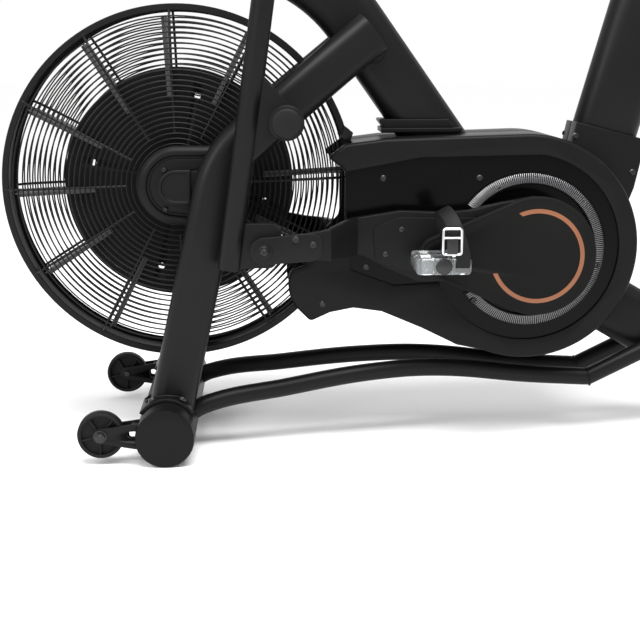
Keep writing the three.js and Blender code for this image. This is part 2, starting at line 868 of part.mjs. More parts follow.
// The cover over the fan's hub, with a flat top that runs back behind the fork leg.
function hubOutline() {
  return [
    ...arc(fan, hubRadius, 90, 256, 16),
    [fan.x + 60, fan.z - 76],
    [fan.x + 96, fan.z - 70],
    [fan.x + 100, fan.z + hubRadius - 14],
    [fan.x + 88, fan.z + hubRadius],
  ];
}

const noseDepth = 36;

function hubCover() {
  const outline = hubOutline();
  const outer = slab(outline, domeHalf + gap, domeHalf + noseDepth);
  const step = slab(grown(outline, -15), domeHalf + noseDepth - 5, domeHalf + noseDepth + 1);
  const pad = slab(grown(outline, -20), domeHalf + noseDepth - 6, domeHalf + noseDepth - 1);
  const hollow = slab(grown(outline, -4), domeHalf - 1, domeHalf + noseDepth - 10);
  const legSpace = solidLeg(1);
  const legInner = legKnee[1] - legDeep / 2;
  const bracketSpace = slab(grown(hubOutline(), -6), legInner - 4, legInner + 4);
  return cut(join(cut(outer, step), pad), hollow, legSpace, bracketSpace, round(fan, 12, 0, 200));
}

addPair("hub_cover", hubCover(), "plastic");

// ---------------------------------------------------------------- crank

// The left pin stands above the axle and the right one below it.
const pin = { x: crank.x, z: crank.z + crankThrow };
const pinRight = { x: crank.x, z: crank.z - crankThrow };
const pedalAxis = { x: crank.x - crankLength, z: crank.z };

// A link with two round eyes, as a slab.
function link(a, ra, b, rb, y0, y1) {
  return slab(beltLoop(a, ra, b, rb, 10), y0, y1);
}

function crankArm() {
  const inner = link(crank, 26, pin, 22, armInnerY, armInnerY + armThick);
  const journal = round(pin, pinRadius, armInnerY, armOuterY + 1);
  const outer = join(
    link(crank, 24, pedalAxis, 17, armOuterY, armOuterY + armThick),
    link(crank, 24, pin, 20, armOuterY, armOuterY + armThick),
  );
  const spindle = round(pedalAxis, 8, armOuterY + 2, pedalY + pedalHalf.y - 3);
  const bore = boring(crank, axleRadius, armInnerY - 1, armInnerY + armThick - 4);
  return cut(join(inner, journal, outer, spindle), bore);
}

function crankCover() {
  const y0 = armOuterY + armThick + gap;
  const plate = link(crank, 102.5, { x: crank.x - crankLength + 6, z: crank.z }, 36, y0, y0 + coverThick);
  return cut(plate, round(pedalAxis, 11, y0 - 1, y0 + coverThick + 1));
}

add("crank_axle", round(crank, axleRadius, 8 - armInnerY - armThick, armInnerY + armThick - 8), "steel");
const pulleyBand = round(crank, crankPulleyRadius, -primaryY - beltWide / 2, -primaryY + beltWide / 2, 40);
const pulleyBore = boring(crank, axleRadius, -90, 0);
add("crank_pulley", cut(pulleyBand, pulleyBore), "plastic");
add("crank_arm_left", mirrored(crankArm()), "frame");
add("crank_arm_right", turned(crankArm(), crank, Math.PI), "frame");
add("crank_cover_left", mirrored(crankCover()), "plastic");
add("crank_cover_right", turned(crankCover(), crank, Math.PI), "plastic");

// The pedal is a frame of clear plastic with a bore for its spindle.
function pedal(axis) {
  const { x, y, z } = pedalHalf;
  const block = box(axis.x - x, axis.x + x, pedalY - y, pedalY + y, axis.z - z, axis.z + z);
  return cut(block, boring(axis, 8, pedalY - y - 1, pedalY + y - 2));
}
add("pedal_left", mirrored(pedal(pedalAxis)), "clear");
add("pedal_right", pedal({ x: crank.x + crankLength, z: crank.z }), "clear");

// ---------------------------------------------------------------- rods and levers

const rodLong = Math.hypot(pin.x - foot.x, pin.z - foot.z);
const leverLow = Math.hypot(foot.x - pivot.x, foot.z - pivot.z);

// Where the right lever's foot is: there the right rod, from its own pin, meets the lever.
function rightFoot() {
  const span = Math.hypot(pinRight.x - pivot.x, pinRight.z - pivot.z);
  const base = Math.atan2(pinRight.z - pivot.z, pinRight.x - pivot.x);
  const open = Math.acos((leverLow ** 2 + span ** 2 - rodLong ** 2) / (2 * leverLow * span));
  return {
    x: pivot.x + leverLow * Math.cos(base - open),
    z: pivot.z + leverLow * Math.sin(base - open),
  };
}

const footRight = rightFoot();
const angleOf = (from, to) => Math.atan2(to.z - from.z, to.x - from.x);
const leverSwing = angleOf(pivot, footRight) - angleOf(pivot, foot);
const rodTurn = angleOf(footRight, pinRight) - angleOf(foot, pin);

// The rod seen from above: outboard at the lever foot, then stepped in behind the crank arm.
function rodPlan() {
  const stepFrom = -75;
  const stepTo = -8;
  const stepLag = 12; // the step's outer face starts this much further back
  const past = 40; // the slab runs on past both eyes
  const outer = rodOuterY + rodOuterThick;
  return [
    [foot.x - past, rodOuterY],
    [stepFrom, rodOuterY],
    [stepTo, rodInnerY],
    [pin.x + past, rodInnerY],
    [pin.x + past, rodInnerY + rodInnerThick],
    [stepTo + stepLag, rodInnerY + rodInnerThick],
    [stepFrom + stepLag, outer],
    [foot.x - past, outer],
  ];
}

// The rod seen from the side: round the lever foot, along the lower edge, round the pin and back.
function rodSide() {
  const footEye = 23;
  const pinEye = 34;
  return [
    ...arc(foot, footEye, 100, 262, 8),
    [-150, 347],
    [-59, 343],
    [-20, 322],
    [37, 297],
    [crank.x - 130, crank.z - 48],
    [pin.x - 30, pin.z - 60],
    ...arc(pin, pinEye, -50, 100, 8),
    [pin.x - 60, pin.z + 24],
    [pin.x - 110, 421],
    [82, 417],
    [4, 420],
    [-96, 404],
    [-121, 398],
    [-166, 390],
  ];
}

function rod() {
  const body = deck(rodPlan(), 250, 480).intersect(slab(rodSide(), 100, 260));
  const boltHead = round(foot, 9, rodOuterY + 2, rodOuterY + rodOuterThick + 5);
  return cut(join(body, boltHead), boring(pin, pinRadius, 100, 200));
}

// The right rod is moved down to its own pin and turned to meet its lever's foot.
function rightRod() {
  const parallel = shifted(rod(), 0, 0, -2 * crankThrow);
  return turned(parallel, pinRight, -rodTurn);
}
add("connecting_rod_left", mirrored(rod()), "plastic");
add("connecting_rod_right", rightRod(), "plastic");

function leverAt(z) {
  return pivot.x - 64.3 + (z - pivot.z) * leverLean;
}

const leverTopZ = 1024;
const leverPath = [
  [leverAt(327), leverY, 327],
  [leverAt(leverTopZ), leverY + 4, leverTopZ],
  [leverAt(leverTopZ) + 126, 232, leverTopZ + 166],
  [leverAt(leverTopZ) + 286, 240, leverTopZ + 206],
];
const hubInnerY = 176;
const hubOuterY = 236;

function leverTube(radius, wall) {
  return roundTube(leverPath, 90, radius, wall, 3, 10);
}

function lever() {
  const tube = leverTube(leverRadius, 2.5);
  const boss = round(pivot, 29, hubInnerY, hubOuterY);
  const fin = slab(
    [
      [leverAt(650) + 8, 652],
      [leverAt(500) + 8, 500],
      [pivot.x - 14, pivot.z - 24],
      [pivot.x + 6, pivot.z + 26],
    ],
    leverY - 6,
    leverY + 6,
  );
  const plate = slab(
    [
      [leverAt(foot.z - 32) + 6, foot.z - 32],
      ...arc({ x: foot.x + 2, z: foot.z }, 28, -60, 0, 3),
      [foot.x + 30, foot.z + 32],
      [foot.x + 18, foot.z + 44],
      [leverAt(foot.z + 44) + 6, foot.z + 44],
    ],
    leverY - 8,
    leverY + 8,
  );
  const footPin = round(foot, 9, leverY, rodOuterY - 0.5);
  const tubeSpace = leverTube(leverRadius - 2, 0);
  const bore = boring(pivot, pinRadius, hubInnerY - 1, hubOuterY + 1);
  const low = [leverAt(327), leverY, 327];
  const lid = roundTube([low, [leverAt(331), leverY, 331]], 0, leverRadius - 1, 0, 1, 10);
  return cut(join(tube, cut(join(boss, fin, plate, footPin), tubeSpace), lid), bore);
}

// Rubber sleeve round the last straight stretch of the handle.
function grip() {
  const [from, to] = leverPath.slice(2).map((p) => new THREE.Vector3(...p));
  const along = to.clone().sub(from).normalize();
  const start = from.clone().addScaledVector(along, 34).toArray();
  const end = to.clone().addScaledVector(along, 3).toArray();
  const sleeve = roundTube([start, end], 0, leverRadius + 5, 0, 1, 14);
  return cut(sleeve, leverTube(leverRadius + gap, 0));
}
add("lever_left", mirrored(lever()), "frame");
add("lever_right", turned(lever(), pivot, -leverSwing), "frame");
add("grip_left", mirrored(grip()), "rubber");
add("grip_right", turned(grip(), pivot, -leverSwing), "rubber");

// A shaft welded to the fork leg carries the lever; its cap keeps the lever on.
function pivotShaft() {
  const shaft = round(pivot, pinRadius, 100, hubOuterY + 4);
  const flange = round(pivot, 26, 100, hubInnerY - runGap);
  const cap = round(pivot, 25, hubOuterY + runGap, hubOuterY + 14);
  return cut(join(shaft, flange, cap), solidLeg(gap), box(-400, 0, 0, pivotLegY, 400, 700));
}
const pivotLegY = legKnee[1] - (pivot.x - legKnee[0]) * armSlope;
addPair("pivot_shaft", pivotShaft(), "frame");

// ---------------------------------------------------------------- seat

const railZ = seatAxis(postRise + 10)[2];
const railX = seatAxis(postRise)[0];
const carriageClear = 0.4;

function seatPost() {
  const post = postBar(0, -postInside, postRise);
  const rail = box(
    railX - railLong / 2,
    railX + railLong / 2,
    -railAcross / 2,
    railAcross / 2,
    railZ - 6,
    railZ - 6 + railHigh,
  );
  return join(post, rail);
}
add("seat_post", seatPost(), "steel");

const carriageHalf = 55;
const carriageTop = railZ - 6 + railHigh + 10;

// The carriage wraps the rail on three sides and carries the saddle.
function carriage() {
  const reach = railAcross / 2 + 6;
  const outer = box(
    railX - carriageHalf,
    railX + carriageHalf,
    -reach,
    reach,
    railZ + 4,
    carriageTop,
  );
  const space = box(
    railX - carriageHalf - 1,
    railX + carriageHalf + 1,
    -railAcross / 2 - carriageClear,
    railAcross / 2 + carriageClear,
    railZ - 20,
    railZ - 6 + railHigh + carriageClear,
  );
  const screw = box(railX - 12, railX + 12, reach - 1, reach + 6, railZ + 4, railZ + 20);
  const bore = boring({ x: railX, z: railZ + 8 }, 6, 0, reach + 8);
  return cut(join(outer, screw), space, bore);
}
add("saddle_carriage", carriage(), "frame");

function carriageKnob() {
  const reach = railAcross / 2 + 6;
  const centre = { x: railX, z: railZ + 8 };
  const stem = round(centre, 6, railAcross / 2 + 1.5, reach + 12);
  const head = round(centre, 18, reach + 7, reach + 34);
  return join(stem, head);
}
add("carriage_knob", carriageKnob(), "plastic");

function postKnob() {
  const stem = knobBar(6, postWide / 2 + 1.5, spineWide / 2 + 22, 14);
  const head = knobBar(20, spineWide / 2 + 13, spineWide / 2 + 46, 16);
  return join(stem, head);
}
add("post_knob", postKnob(), "plastic");

// The saddle from above: a rounded back that narrows to a short nose.
function saddleOutline(inset) {
  const half = [
    [-0.5, 0.1],
    [-0.46, 0.17],
    [-0.3, 0.2],
    [-0.12, 0.26],
    [0.06, 0.4],
    [0.22, 0.5],
    [0.38, 0.47],
    [0.48, 0.3],
    [0.5, 0.12],
  ].map(([along, across]) => [
    railX + 12 + along * (saddleLong - 2 * inset),
    across * (saddleWide - 2 * inset),
  ]);
  return [...half.map(([x, y]) => [x, -y]), ...half.reverse()];
}

function saddle() {
  const base = carriageTop + gap;
  return join(
    deck(saddleOutline(14), base, base + 14),
    deck(saddleOutline(0), base + 13, base + saddleHigh - 16),
    deck(saddleOutline(16), base + saddleHigh - 17, base + saddleHigh),
  );
}
add("saddle", saddle(), "leather");

// ---------------------------------------------------------------- console

const mastFoot = { x: mainFrontX + 62, z: mainTopZ };
const tiltAxis = { x: consoleX, z: consoleZ - 30 };

function mast() {
  const path = [
    [mastFoot.x, 0, mastFoot.z],
    [mastFoot.x, 0, mastFoot.z + 60],
    [tiltAxis.x, 0, tiltAxis.z - 24],
  ];
  const tube = roundTube(path, 60, mastRadius, 2.5, 3, 10);
  const ear = box(tiltAxis.x - 12, tiltAxis.x + 12, -14, 14, tiltAxis.z - 34, tiltAxis.z - 12);
  const tongue = round(tiltAxis, 14, -14, 14);
  const whole = join(tube, ear, tongue);
  const bore = boring(tiltAxis, 4, -30, 30);
  return cut(whole, mainTube(spineWide + 2 * gap, spineDeep + 2 * gap, 0), bore);
}
add("console_mast", mast(), "frame");

// The console lies flat while it is built, then tilts to face the rider.
const consoleBase = { x: tiltAxis.x, z: tiltAxis.z + 22 };

function tilted(made) {
  return turned(made, tiltAxis, consoleTilt);
}

function consoleBody() {
  const { x, y, z } = consoleSize;
  const half = consoleBase.x;
  const shellBox = box(half - x / 2, half + x / 2, -y / 2, y / 2, consoleBase.z, consoleBase.z + z);
  const cheek = box(half - 11, half + 11, 16, 24, tiltAxis.z - 6, consoleBase.z + 2);
  const bolt = round(tiltAxis, 4, -20, 20);
  const wells = buttonCentres().map(([bx, by]) => buttonBar(bx, by, buttonRadius + gap, -6, 10));
  return cut(join(shellBox, cheek, mirrored(cheek), bolt), ...wells);
}

function buttonCentres() {
  return [-60, -20, 20, 60].map((y) => [consoleBase.x + consoleSize.x / 2 - 24, y]);
}

// A button-shaped bar, between two heights from the console's top face.
function buttonBar(x, y, radius, from, to) {
  const geometry = new THREE.CylinderGeometry(radius, radius, to - from, 16);
  geometry.rotateX(Math.PI / 2);
  geometry.translate(x, y, consoleBase.z + consoleSize.z + (from + to) / 2);
  return solid(geometry);
}
add("console", tilted(consoleBody()), "plastic");
["start", "stop", "mode", "reset"].forEach((name, i) => {
  const [x, y] = buttonCentres()[i];
  add(`button_${name}`, tilted(buttonBar(x, y, buttonRadius, -3, 3)), "rubber");
});

export default bike;
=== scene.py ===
"""Air bike: the finished look of every piece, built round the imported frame."""
import math

import bpy
from mathutils import Matrix, Vector


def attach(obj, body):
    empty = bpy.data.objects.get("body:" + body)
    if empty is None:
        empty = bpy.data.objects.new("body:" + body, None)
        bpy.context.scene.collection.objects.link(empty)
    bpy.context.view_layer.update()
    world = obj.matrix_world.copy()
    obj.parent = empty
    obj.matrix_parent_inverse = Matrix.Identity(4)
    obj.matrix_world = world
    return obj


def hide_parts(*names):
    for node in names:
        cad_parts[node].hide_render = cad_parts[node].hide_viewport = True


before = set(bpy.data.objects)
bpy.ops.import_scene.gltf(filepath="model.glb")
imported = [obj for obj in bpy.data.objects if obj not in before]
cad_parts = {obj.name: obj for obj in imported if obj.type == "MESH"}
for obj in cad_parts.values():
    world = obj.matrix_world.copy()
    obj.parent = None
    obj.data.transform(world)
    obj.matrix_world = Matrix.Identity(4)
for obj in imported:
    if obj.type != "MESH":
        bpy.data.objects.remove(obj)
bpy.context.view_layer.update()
MM = 0.001

# ---------------------------------------------------------------- sizes, in millimetres

STAB_RADIUS = 50
FRONT_X, REAR_X = -399, 650
FRONT_HALF, REAR_HALF = 262, 235
FAN = (-380, 460)
CAGE_RADIUS, HOOP_HALF, DOME_HALF = 311, 48, 76
HUB_RADIUS, DISC_RADIUS = 68.5, 203
CRANK = (239, 344)
PIN = (239, 409)
PIN_LOW = (239, 279)
PEDAL = (64, 344)
PIVOT = (-191, 574)
FOOT = (-230, 362)
WHEEL = (-508, 52)
WHEEL_Y = 230
LEG = [(-399, 165, 50), (-299.5, 143, 507), (-40, 85, 722)]
CASE_FACE, RECESS_FACE = -98, -91.5
SEAT_LEAN = 0.277
SEAT_TILT = math.atan(SEAT_LEAN)
SEAT_BASE, SEAT_TOP = (357.3, 430), 790
MAST_TILT = (-262, 1120)
CONSOLE_TILT = math.radians(35)


# ---------------------------------------------------------------- finishes


def tuned(node, **sockets):
    """Sets a node's inputs; an underscore in a name stands for a space."""
    for socket, value in sockets.items():
        node.inputs[socket.replace("_", " ")].default_value = value
    return node


def finish(name, dark, light, rough, grain, depth, metal=0.0, coat=0.0, specular=0.5, stretch=(1, 1, 1)):
    """A surface whose colour and gloss drift a little over a fine grain."""
    material = bpy.data.materials.new(name)
    material.use_nodes = True
    nodes, links = material.node_tree.nodes, material.node_tree.links
    shader = nodes["Principled BSDF"]
    tuned(shader, Metallic=metal, Coat_Weight=coat, Coat_Roughness=0.08, Specular_IOR_Level=specular)
    spread = tuned(nodes.new("ShaderNodeMapping"), Scale=stretch)
    links.new(nodes.new("ShaderNodeTexCoord").outputs["Object"], spread.inputs["Vector"])
    drift = tuned(nodes.new("ShaderNodeTexNoise"), Scale=14, Detail=5)
    links.new(spread.outputs["Vector"], drift.inputs["Vector"])
    tint = nodes.new("ShaderNodeMix")
    tint.data_type = "RGBA"
    tuned(tint, A=(*dark, 1), B=(*light, 1))
    links.new(drift.outputs["Fac"], tint.inputs["Factor"])
    links.new(tint.outputs["Result"], shader.inputs["Base Color"])
    gloss = tuned(nodes.new("ShaderNodeMapRange"), To_Min=rough[0], To_Max=rough[1])
    links.new(drift.outputs["Fac"], gloss.inputs["Value"])
    links.new(gloss.outputs["Result"], shader.inputs["Roughness"])
    fine = tuned(nodes.new("ShaderNodeTexNoise"), Scale=grain, Detail=3)
    links.new(spread.outputs["Vector"], fine.inputs["Vector"])
    bump = tuned(nodes.new("ShaderNodeBump"), Strength=depth, Distance=0.0004)
    links.new(fine.outputs["Fac"], bump.inputs["Height"])
    links.new(bump.outputs["Normal"], shader.inputs["Normal"])
    return material


def leather(name):
    """Black synthetic leather: small rounded cells and a soft sheen."""
    material = finish(
        name, (0.005, 0.005, 0.0055), (0.009, 0.009, 0.0095), (0.42, 0.6), 700, 0.2, specular=0.2
    )
    nodes, links = material.node_tree.nodes, material.node_tree.links
    shader = nodes["Principled BSDF"]
    tuned(shader, Sheen_Weight=0.04)
    cells = tuned(nodes.new("ShaderNodeTexVoronoi"), Scale=420)
    links.new(nodes["Mapping"].outputs["Vector"], cells.inputs["Vector"])
    bump = tuned(nodes.new("ShaderNodeBump"), Strength=0.45, Distance=0.0006)
    links.new(cells.outputs["Distance"], bump.inputs["Height"])
    links.new(nodes["Bump"].outputs["Normal"], bump.inputs["Normal"])
    links.new(bump.outputs["Normal"], shader.inputs["Normal"])
    return material


def clear_plastic(name):
    """Clear moulded plastic with faint flow marks."""
    material = finish(name, (0.5, 0.52, 0.53), (0.6, 0.62, 0.63), (0.05, 0.14), 220, 0.12)
    tuned(material.node_tree.nodes["Principled BSDF"], Transmission_Weight=0.88, IOR=1.49)
    return material


powder_coat = finish(
    "satin_black_powder_coat", (0.0030, 0.0030, 0.0033), (0.0050, 0.0050, 0.0053), (0.36, 0.46), 900, 0.12,
    specular=0.14
)
leg_coat = finish(
    "leg_powder_coat", (0.0033, 0.0033, 0.0036), (0.0056, 0.0056, 0.0059), (0.34, 0.44), 900, 0.12,
    specular=0.14
)
wire_coat = finish(
    "glossy_wire_coat", (0.0026, 0.0026, 0.0026), (0.0046, 0.0046, 0.0046), (0.25, 0.36), 700, 0.05,
    specular=0.2
)
case_plastic = finish(
    "case_plastic", (0.0040, 0.0040, 0.0043), (0.0059, 0.0059, 0.0063), (0.34, 0.42), 1500, 0.1,
    specular=0.1
)
gloss_plastic = finish(
    "gloss_black_plastic", (0.001, 0.001, 0.0012), (0.0018, 0.0018, 0.002), (0.12, 0.2), 60, 0.03,
    coat=0.03, specular=0.07
)
trim_plastic = finish(
    "matte_trim_plastic", (0.0046, 0.0046, 0.0050), (0.0073, 0.0073, 0.0076), (0.48, 0.6), 1300, 0.18,
    specular=0.14
)
cover_plastic = finish(
    "crank_cover_plastic", (0.005, 0.0048, 0.0047), (0.008, 0.0077, 0.0075), (0.5, 0.62), 1400, 0.2,
    specular=0.06
)
copper_print = finish(
    "copper_print", (0.17, 0.06, 0.025), (0.22, 0.08, 0.034), (0.38, 0.5), 800, 0.05, metal=0.25
)
rib_metal = finish(
    "bright_rib_trim", (0.13, 0.13, 0.135), (0.2, 0.2, 0.205), (0.2, 0.3), 500, 0.05, metal=0.85
)
fan_metal = finish(
    "fan_enamel", (0.0033, 0.0033, 0.0036), (0.0059, 0.0059, 0.0063), (0.36, 0.5), 400, 0.08, specular=0.08
)
blade_metal = finish("blade_enamel", (0.03, 0.03, 0.032), (0.045, 0.045, 0.047), (0.35, 0.5), 400, 0.08)
steel = finish(
    "turned_steel", (0.42, 0.42, 0.43), (0.56, 0.56, 0.57), (0.22, 0.34), 300, 0.12, metal=1.0,
    stretch=(1, 12, 1)
)
chrome = finish("bright_chrome", (0.5, 0.5, 0.51), (0.6, 0.6, 0.61), (0.05, 0.12), 200, 0.02, metal=1.0)
black_bolt = finish(
    "black_bolt_steel", (0.014, 0.014, 0.015), (0.03, 0.03, 0.031), (0.25, 0.36), 500, 0.06, metal=0.6
)
rubber = finish(
    "soft_black_rubber", (0.0026, 0.0026, 0.0026), (0.0046, 0.0046, 0.0046), (0.65, 0.8), 1100, 0.35,
    specular=0.14
)
button_rubber = finish("grey_button_rubber", (0.11, 0.11, 0.115), (0.15, 0.15, 0.155), (0.5, 0.62), 900, 0.1)
strap_web = finish(
    "strap_rubber", (0.0040, 0.0040, 0.0043), (0.0073, 0.0073, 0.0076), (0.45, 0.6), 900, 0.2, specular=0.14
)
screen_glass = finish(
    "screen_glass", (0.012, 0.014, 0.016), (0.018, 0.021, 0.024), (0.04, 0.1), 40, 0.01, coat=0.6
)
display_grey = finish("display_panel", (0.2, 0.23, 0.21), (0.25, 0.28, 0.26), (0.2, 0.3), 60, 0.02)
saddle_skin = leather("saddle_leather")
clear_pedal = clear_plastic("clear_pedal_plastic")


# ---------------------------------------------------------------- shop tools


def cleared():
    bpy.ops.object.select_all(action="DESELECT")


def editing(on):
    bpy.ops.object.mode_set(mode="EDIT" if on else "OBJECT")


def alone(obj):
    """Nothing but this piece is selected."""
    cleared()
    obj.select_set(True)
    bpy.context.view_layer.objects.active = obj
    return obj


def painted(obj, material):
    obj.data.materials.clear()
    obj.data.materials.append(material)
    return obj


def applied(obj, kind, **settings):
    """Adds a modifier, sets it and applies it."""
    alone(obj)
    change = obj.modifiers.new(kind.lower(), kind)
    for setting, value in settings.items():
        setattr(change, setting, value)
    bpy.ops.object.modifier_apply(modifier=change.name)
    return obj


def linked(name, data):
    obj = bpy.data.objects.new(name, data)
    bpy.context.collection.objects.link(obj)
    return obj


def softened(obj, edge=1.5, segments=3, angle=32):
    """Rounds the edges of a piece and shades it smooth up to its real corners."""
    alone(obj)
    if edge:
        limit = {"limit_method": "ANGLE", "angle_limit": math.radians(angle)}
        applied(obj, "BEVEL", width=edge * MM, segments=segments, miter_outer="MITER_ARC", **limit)
    bpy.ops.object.shade_smooth_by_angle(angle=math.radians(38))
    return obj


def facing_out(obj):
    alone(obj)
    editing(True)
    bpy.ops.mesh.select_all(action="SELECT")
    bpy.ops.mesh.remove_doubles(threshold=1e-6)
    bpy.ops.mesh.normals_make_consistent(inside=False)
    editing(False)
    return obj


def settled(obj):
    alone(obj)
    bpy.ops.object.transform_apply(location=True, rotation=True, scale=True)
    return obj


def plate(outline, outer, inner, edge=1.5, segments=3, steps=(), axis="Y"):
    """A piece cut to an outline; its outer face may be stepped in, each step an inset and a rise."""
    cleared()
    bpy.ops.mesh.primitive_circle_add(vertices=len(outline), radius=0.01, fill_type="NGON")
    obj = bpy.context.object
    for vertex, (u, v) in zip(obj.data.vertices, outline):
        vertex.co = (u * MM, outer * MM, v * MM) if axis == "Y" else (u * MM, v * MM, outer * MM)
    reach = (inner - outer) * MM
    editing(True)
    bpy.ops.mesh.select_all(action="SELECT")
    away = (0, reach, 0) if axis == "Y" else (0, 0, reach)
    bpy.ops.mesh.extrude_region_move(TRANSFORM_OT_translate={"value": away})
    bpy.ops.mesh.select_all(action="SELECT")
    bpy.ops.mesh.normals_make_consistent(inside=False)
    bpy.ops.mesh.select_all(action="DESELECT")
    editing(False)
    if steps:
        side = 1 if axis == "Y" else 2
        for face in obj.data.polygons:
            face.select = abs(face.center[side] - outer * MM) < 1e-6 and len(face.vertices) == len(outline)
        editing(True)
        bpy.ops.mesh.select_mode(type="FACE")
        for inset, rise in steps:
            bpy.ops.mesh.inset(thickness=inset * MM, depth=rise * MM, use_even_offset=True)
        bpy.ops.mesh.select_mode(type="VERT")
        editing(False)
    return softened(obj, edge, segments)


def lathe(profile, centre, sides=64, edge=0):
    """A turned piece: a closed or open profile of (radius, y), spun round a line across the bike."""
    data = bpy.data.curves.new("turning", "CURVE")
    data.dimensions = "3D"
    spline = data.splines.new("POLY")
    spline.points.add(len(profile) - 1)
    for point, (r, y) in zip(spline.points, profile):
        point.co = ((centre[0] + r) * MM, y * MM, centre[1] * MM, 1)
    alone(linked("turning", data))
    bpy.ops.object.convert(target="MESH")
    obj = bpy.context.object
    editing(True)
    bpy.ops.mesh.select_all(action="SELECT")
    middle = (centre[0] * MM, 0, centre[1] * MM)
    bpy.ops.mesh.spin(steps=sides, angle=2 * math.pi, center=middle, axis=(0, 1, 0))
    editing(False)
    facing_out(obj)
    return softened(obj, edge)


def shaft(radius, start, end, centre, sides):
    """A plain round shaft across the bike."""
    return lathe([(0, start), (radius, start), (radius, end), (0, end)], centre, sides)


def curve_piece(path, closed, section=None, radius=1.0, kind="POLY", sharp=()):
    data = bpy.data.curves.new("bar", "CURVE")
    data.dimensions = "3D"
    data.resolution_u = 14
    spline = data.splines.new(kind)
    if kind == "BEZIER":
        spline.bezier_points.add(len(path) - 1)
        for index, (point, spot) in enumerate(zip(spline.bezier_points, path)):
            point.co = Vector(spot) * MM
            style = "VECTOR" if index in sharp else "AUTO"
            point.handle_left_type = point.handle_right_type = style
    else:
        spline.points.add(len(path) - 1)
        for point, spot in zip(spline.points, path):
            point.co = (*(Vector(spot) * MM), 1)
    spline.use_cyclic_u = closed
    data.use_fill_caps = not closed
    if section:
        data.bevel_mode = "OBJECT"
        data.bevel_object = section
    else:
        data.bevel_depth = radius * MM
        data.bevel_resolution = 6
    alone(linked("bar", data))
    bpy.ops.object.convert(target="MESH")
    return bpy.context.object


def bar(path, radius, edge=0, closed=False, **more):
    """A round bar along a path."""
    return softened(facing_out(curve_piece(path, closed, radius=radius, **more)), edge)


def curve_section(points):
    """A closed section for a curve to carry."""
    data = bpy.data.curves.new("section", "CURVE")
    spline = data.splines.new("POLY")
    spline.points.add(len(points) - 1)
    for point, (u, v) in zip(spline.points, points):
        point.co = (u * MM, v * MM, 0, 1)
    spline.use_cyclic_u = True
    return linked("section", data)


def oval_bar(path, wide, deep, edge=1.5):
    """A flat-oval tube along a path, wide in the side view."""
    radius, flat = deep / 2, (wide - deep) / 2
    points = []
    for lift, start in ((flat, 0), (-flat, 180)):
        for k in range(17):
            angle = math.radians(start + 180 * k / 16)
            points.append((radius * math.cos(angle), lift + radius * math.sin(angle)))
    section = curve_section(points)
    obj = facing_out(curve_piece(path, False, section=section))
    bpy.data.objects.remove(section)
    return softened(obj, edge, 2, 60)


def block(x0, x1, y0, y1, z0, z1, edge=1.5, segments=3):
    """A squared block with eased edges."""
    cleared()
    middle = ((x0 + x1) / 2 * MM, (y0 + y1) / 2 * MM, (z0 + z1) / 2 * MM)
    bpy.ops.mesh.primitive_cube_add(size=1, location=middle)
    bpy.context.object.scale = ((x1 - x0) * MM, (y1 - y0) * MM, (z1 - z0) * MM)
    return softened(settled(bpy.context.object), edge, segments)


def hoop_wire(centre, radius, y, thick, sides=112):
    """A round wire bent into a ring."""
    cleared()
    bpy.ops.mesh.primitive_torus_add(
        major_segments=sides,
        minor_segments=8,
        major_radius=radius * MM,
        minor_radius=thick / 2 * MM,
        location=(centre[0] * MM, y * MM, centre[1] * MM),
        rotation=(math.pi / 2, 0, 0),
    )
    obj = settled(bpy.context.object)
    bpy.ops.object.shade_smooth()
    return obj


def joined(pieces):
    cleared()
    for piece in pieces:
        piece.select_set(True)
    bpy.context.view_layer.objects.active = pieces[0]
    bpy.ops.object.join()
    return bpy.context.object


def carved(obj, tool, how="DIFFERENCE"):
    """Takes the tool's shape out of a piece, or keeps only what both hold."""
    applied(obj, "BOOLEAN", operation=how, solver="EXACT", object=tool)
    bpy.data.objects.remove(tool)
    return obj


def moved_copy(obj, matrix):
    copy = obj.copy()
    copy.data = obj.data.copy()
    bpy.context.collection.objects.link(copy)
    copy.data.transform(matrix)
    if matrix.determinant() < 0:
        copy.data.flip_normals()
    return copy


def turned_about(centre, angle):
    """Turns about a line across the bike; a positive angle carries up towards the rear."""
    there = Matrix.Translation((centre[0] * MM, 0, centre[1] * MM))
    return there @ Matrix.Rotation(angle, 4, "Y") @ there.inverted()


def aimed(obj, root, along):
    """Points a piece that was turned about Y along another line, from a root."""
    turn = Vector((0, 1, 0)).rotation_difference(along).to_matrix().to_4x4()
    obj.data.transform(Matrix.Translation(root * MM) @ turn)
    return obj


MIRROR = Matrix.Scale(-1, 4, (0, 1, 0))


def place(obj, name, body, slot, *nodes):
    """Names a finished piece and hangs it on its body."""
    obj.name = name
    obj.data.name = name
    if nodes:
        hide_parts(*nodes)
    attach(obj, body)
    return obj


def place_pair(obj, name, body, slot, node=None, matrix=None):
    """Places a left piece and its mirror image, which may also be moved by a matrix."""
    right = moved_copy(obj, (matrix or Matrix()) @ MIRROR)
    for side, piece in (("left", obj), ("right", right)):
        carrier = body if body in ("frame", "crank") else f"{side}_{body}"
        place(piece, f"{side}_{name}", carrier, slot, *([f"{node}_{side}"] if node else []))


def arc(centre, radius, start, end, steps):
    return [
        (
            centre[0] + radius * math.cos(math.radians(start + (end - start) * k / steps)),
            centre[1] + radius * math.sin(math.radians(start + (end - start) * k / steps)),
        )
        for k in range(steps + 1)
    ]


def link(a, ra, b, rb, steps=28):
    """The outline of a link with two round eyes."""
    along = math.degrees(math.atan2(b[1] - a[1], b[0] - a[0]))
    wrap = math.degrees(math.acos((ra - rb) / math.dist(a, b)))
    return [
        *arc(a, ra, along + wrap, along - wrap + 360, steps),
        *arc(b, rb, along - wrap, along + wrap, steps),
    ]


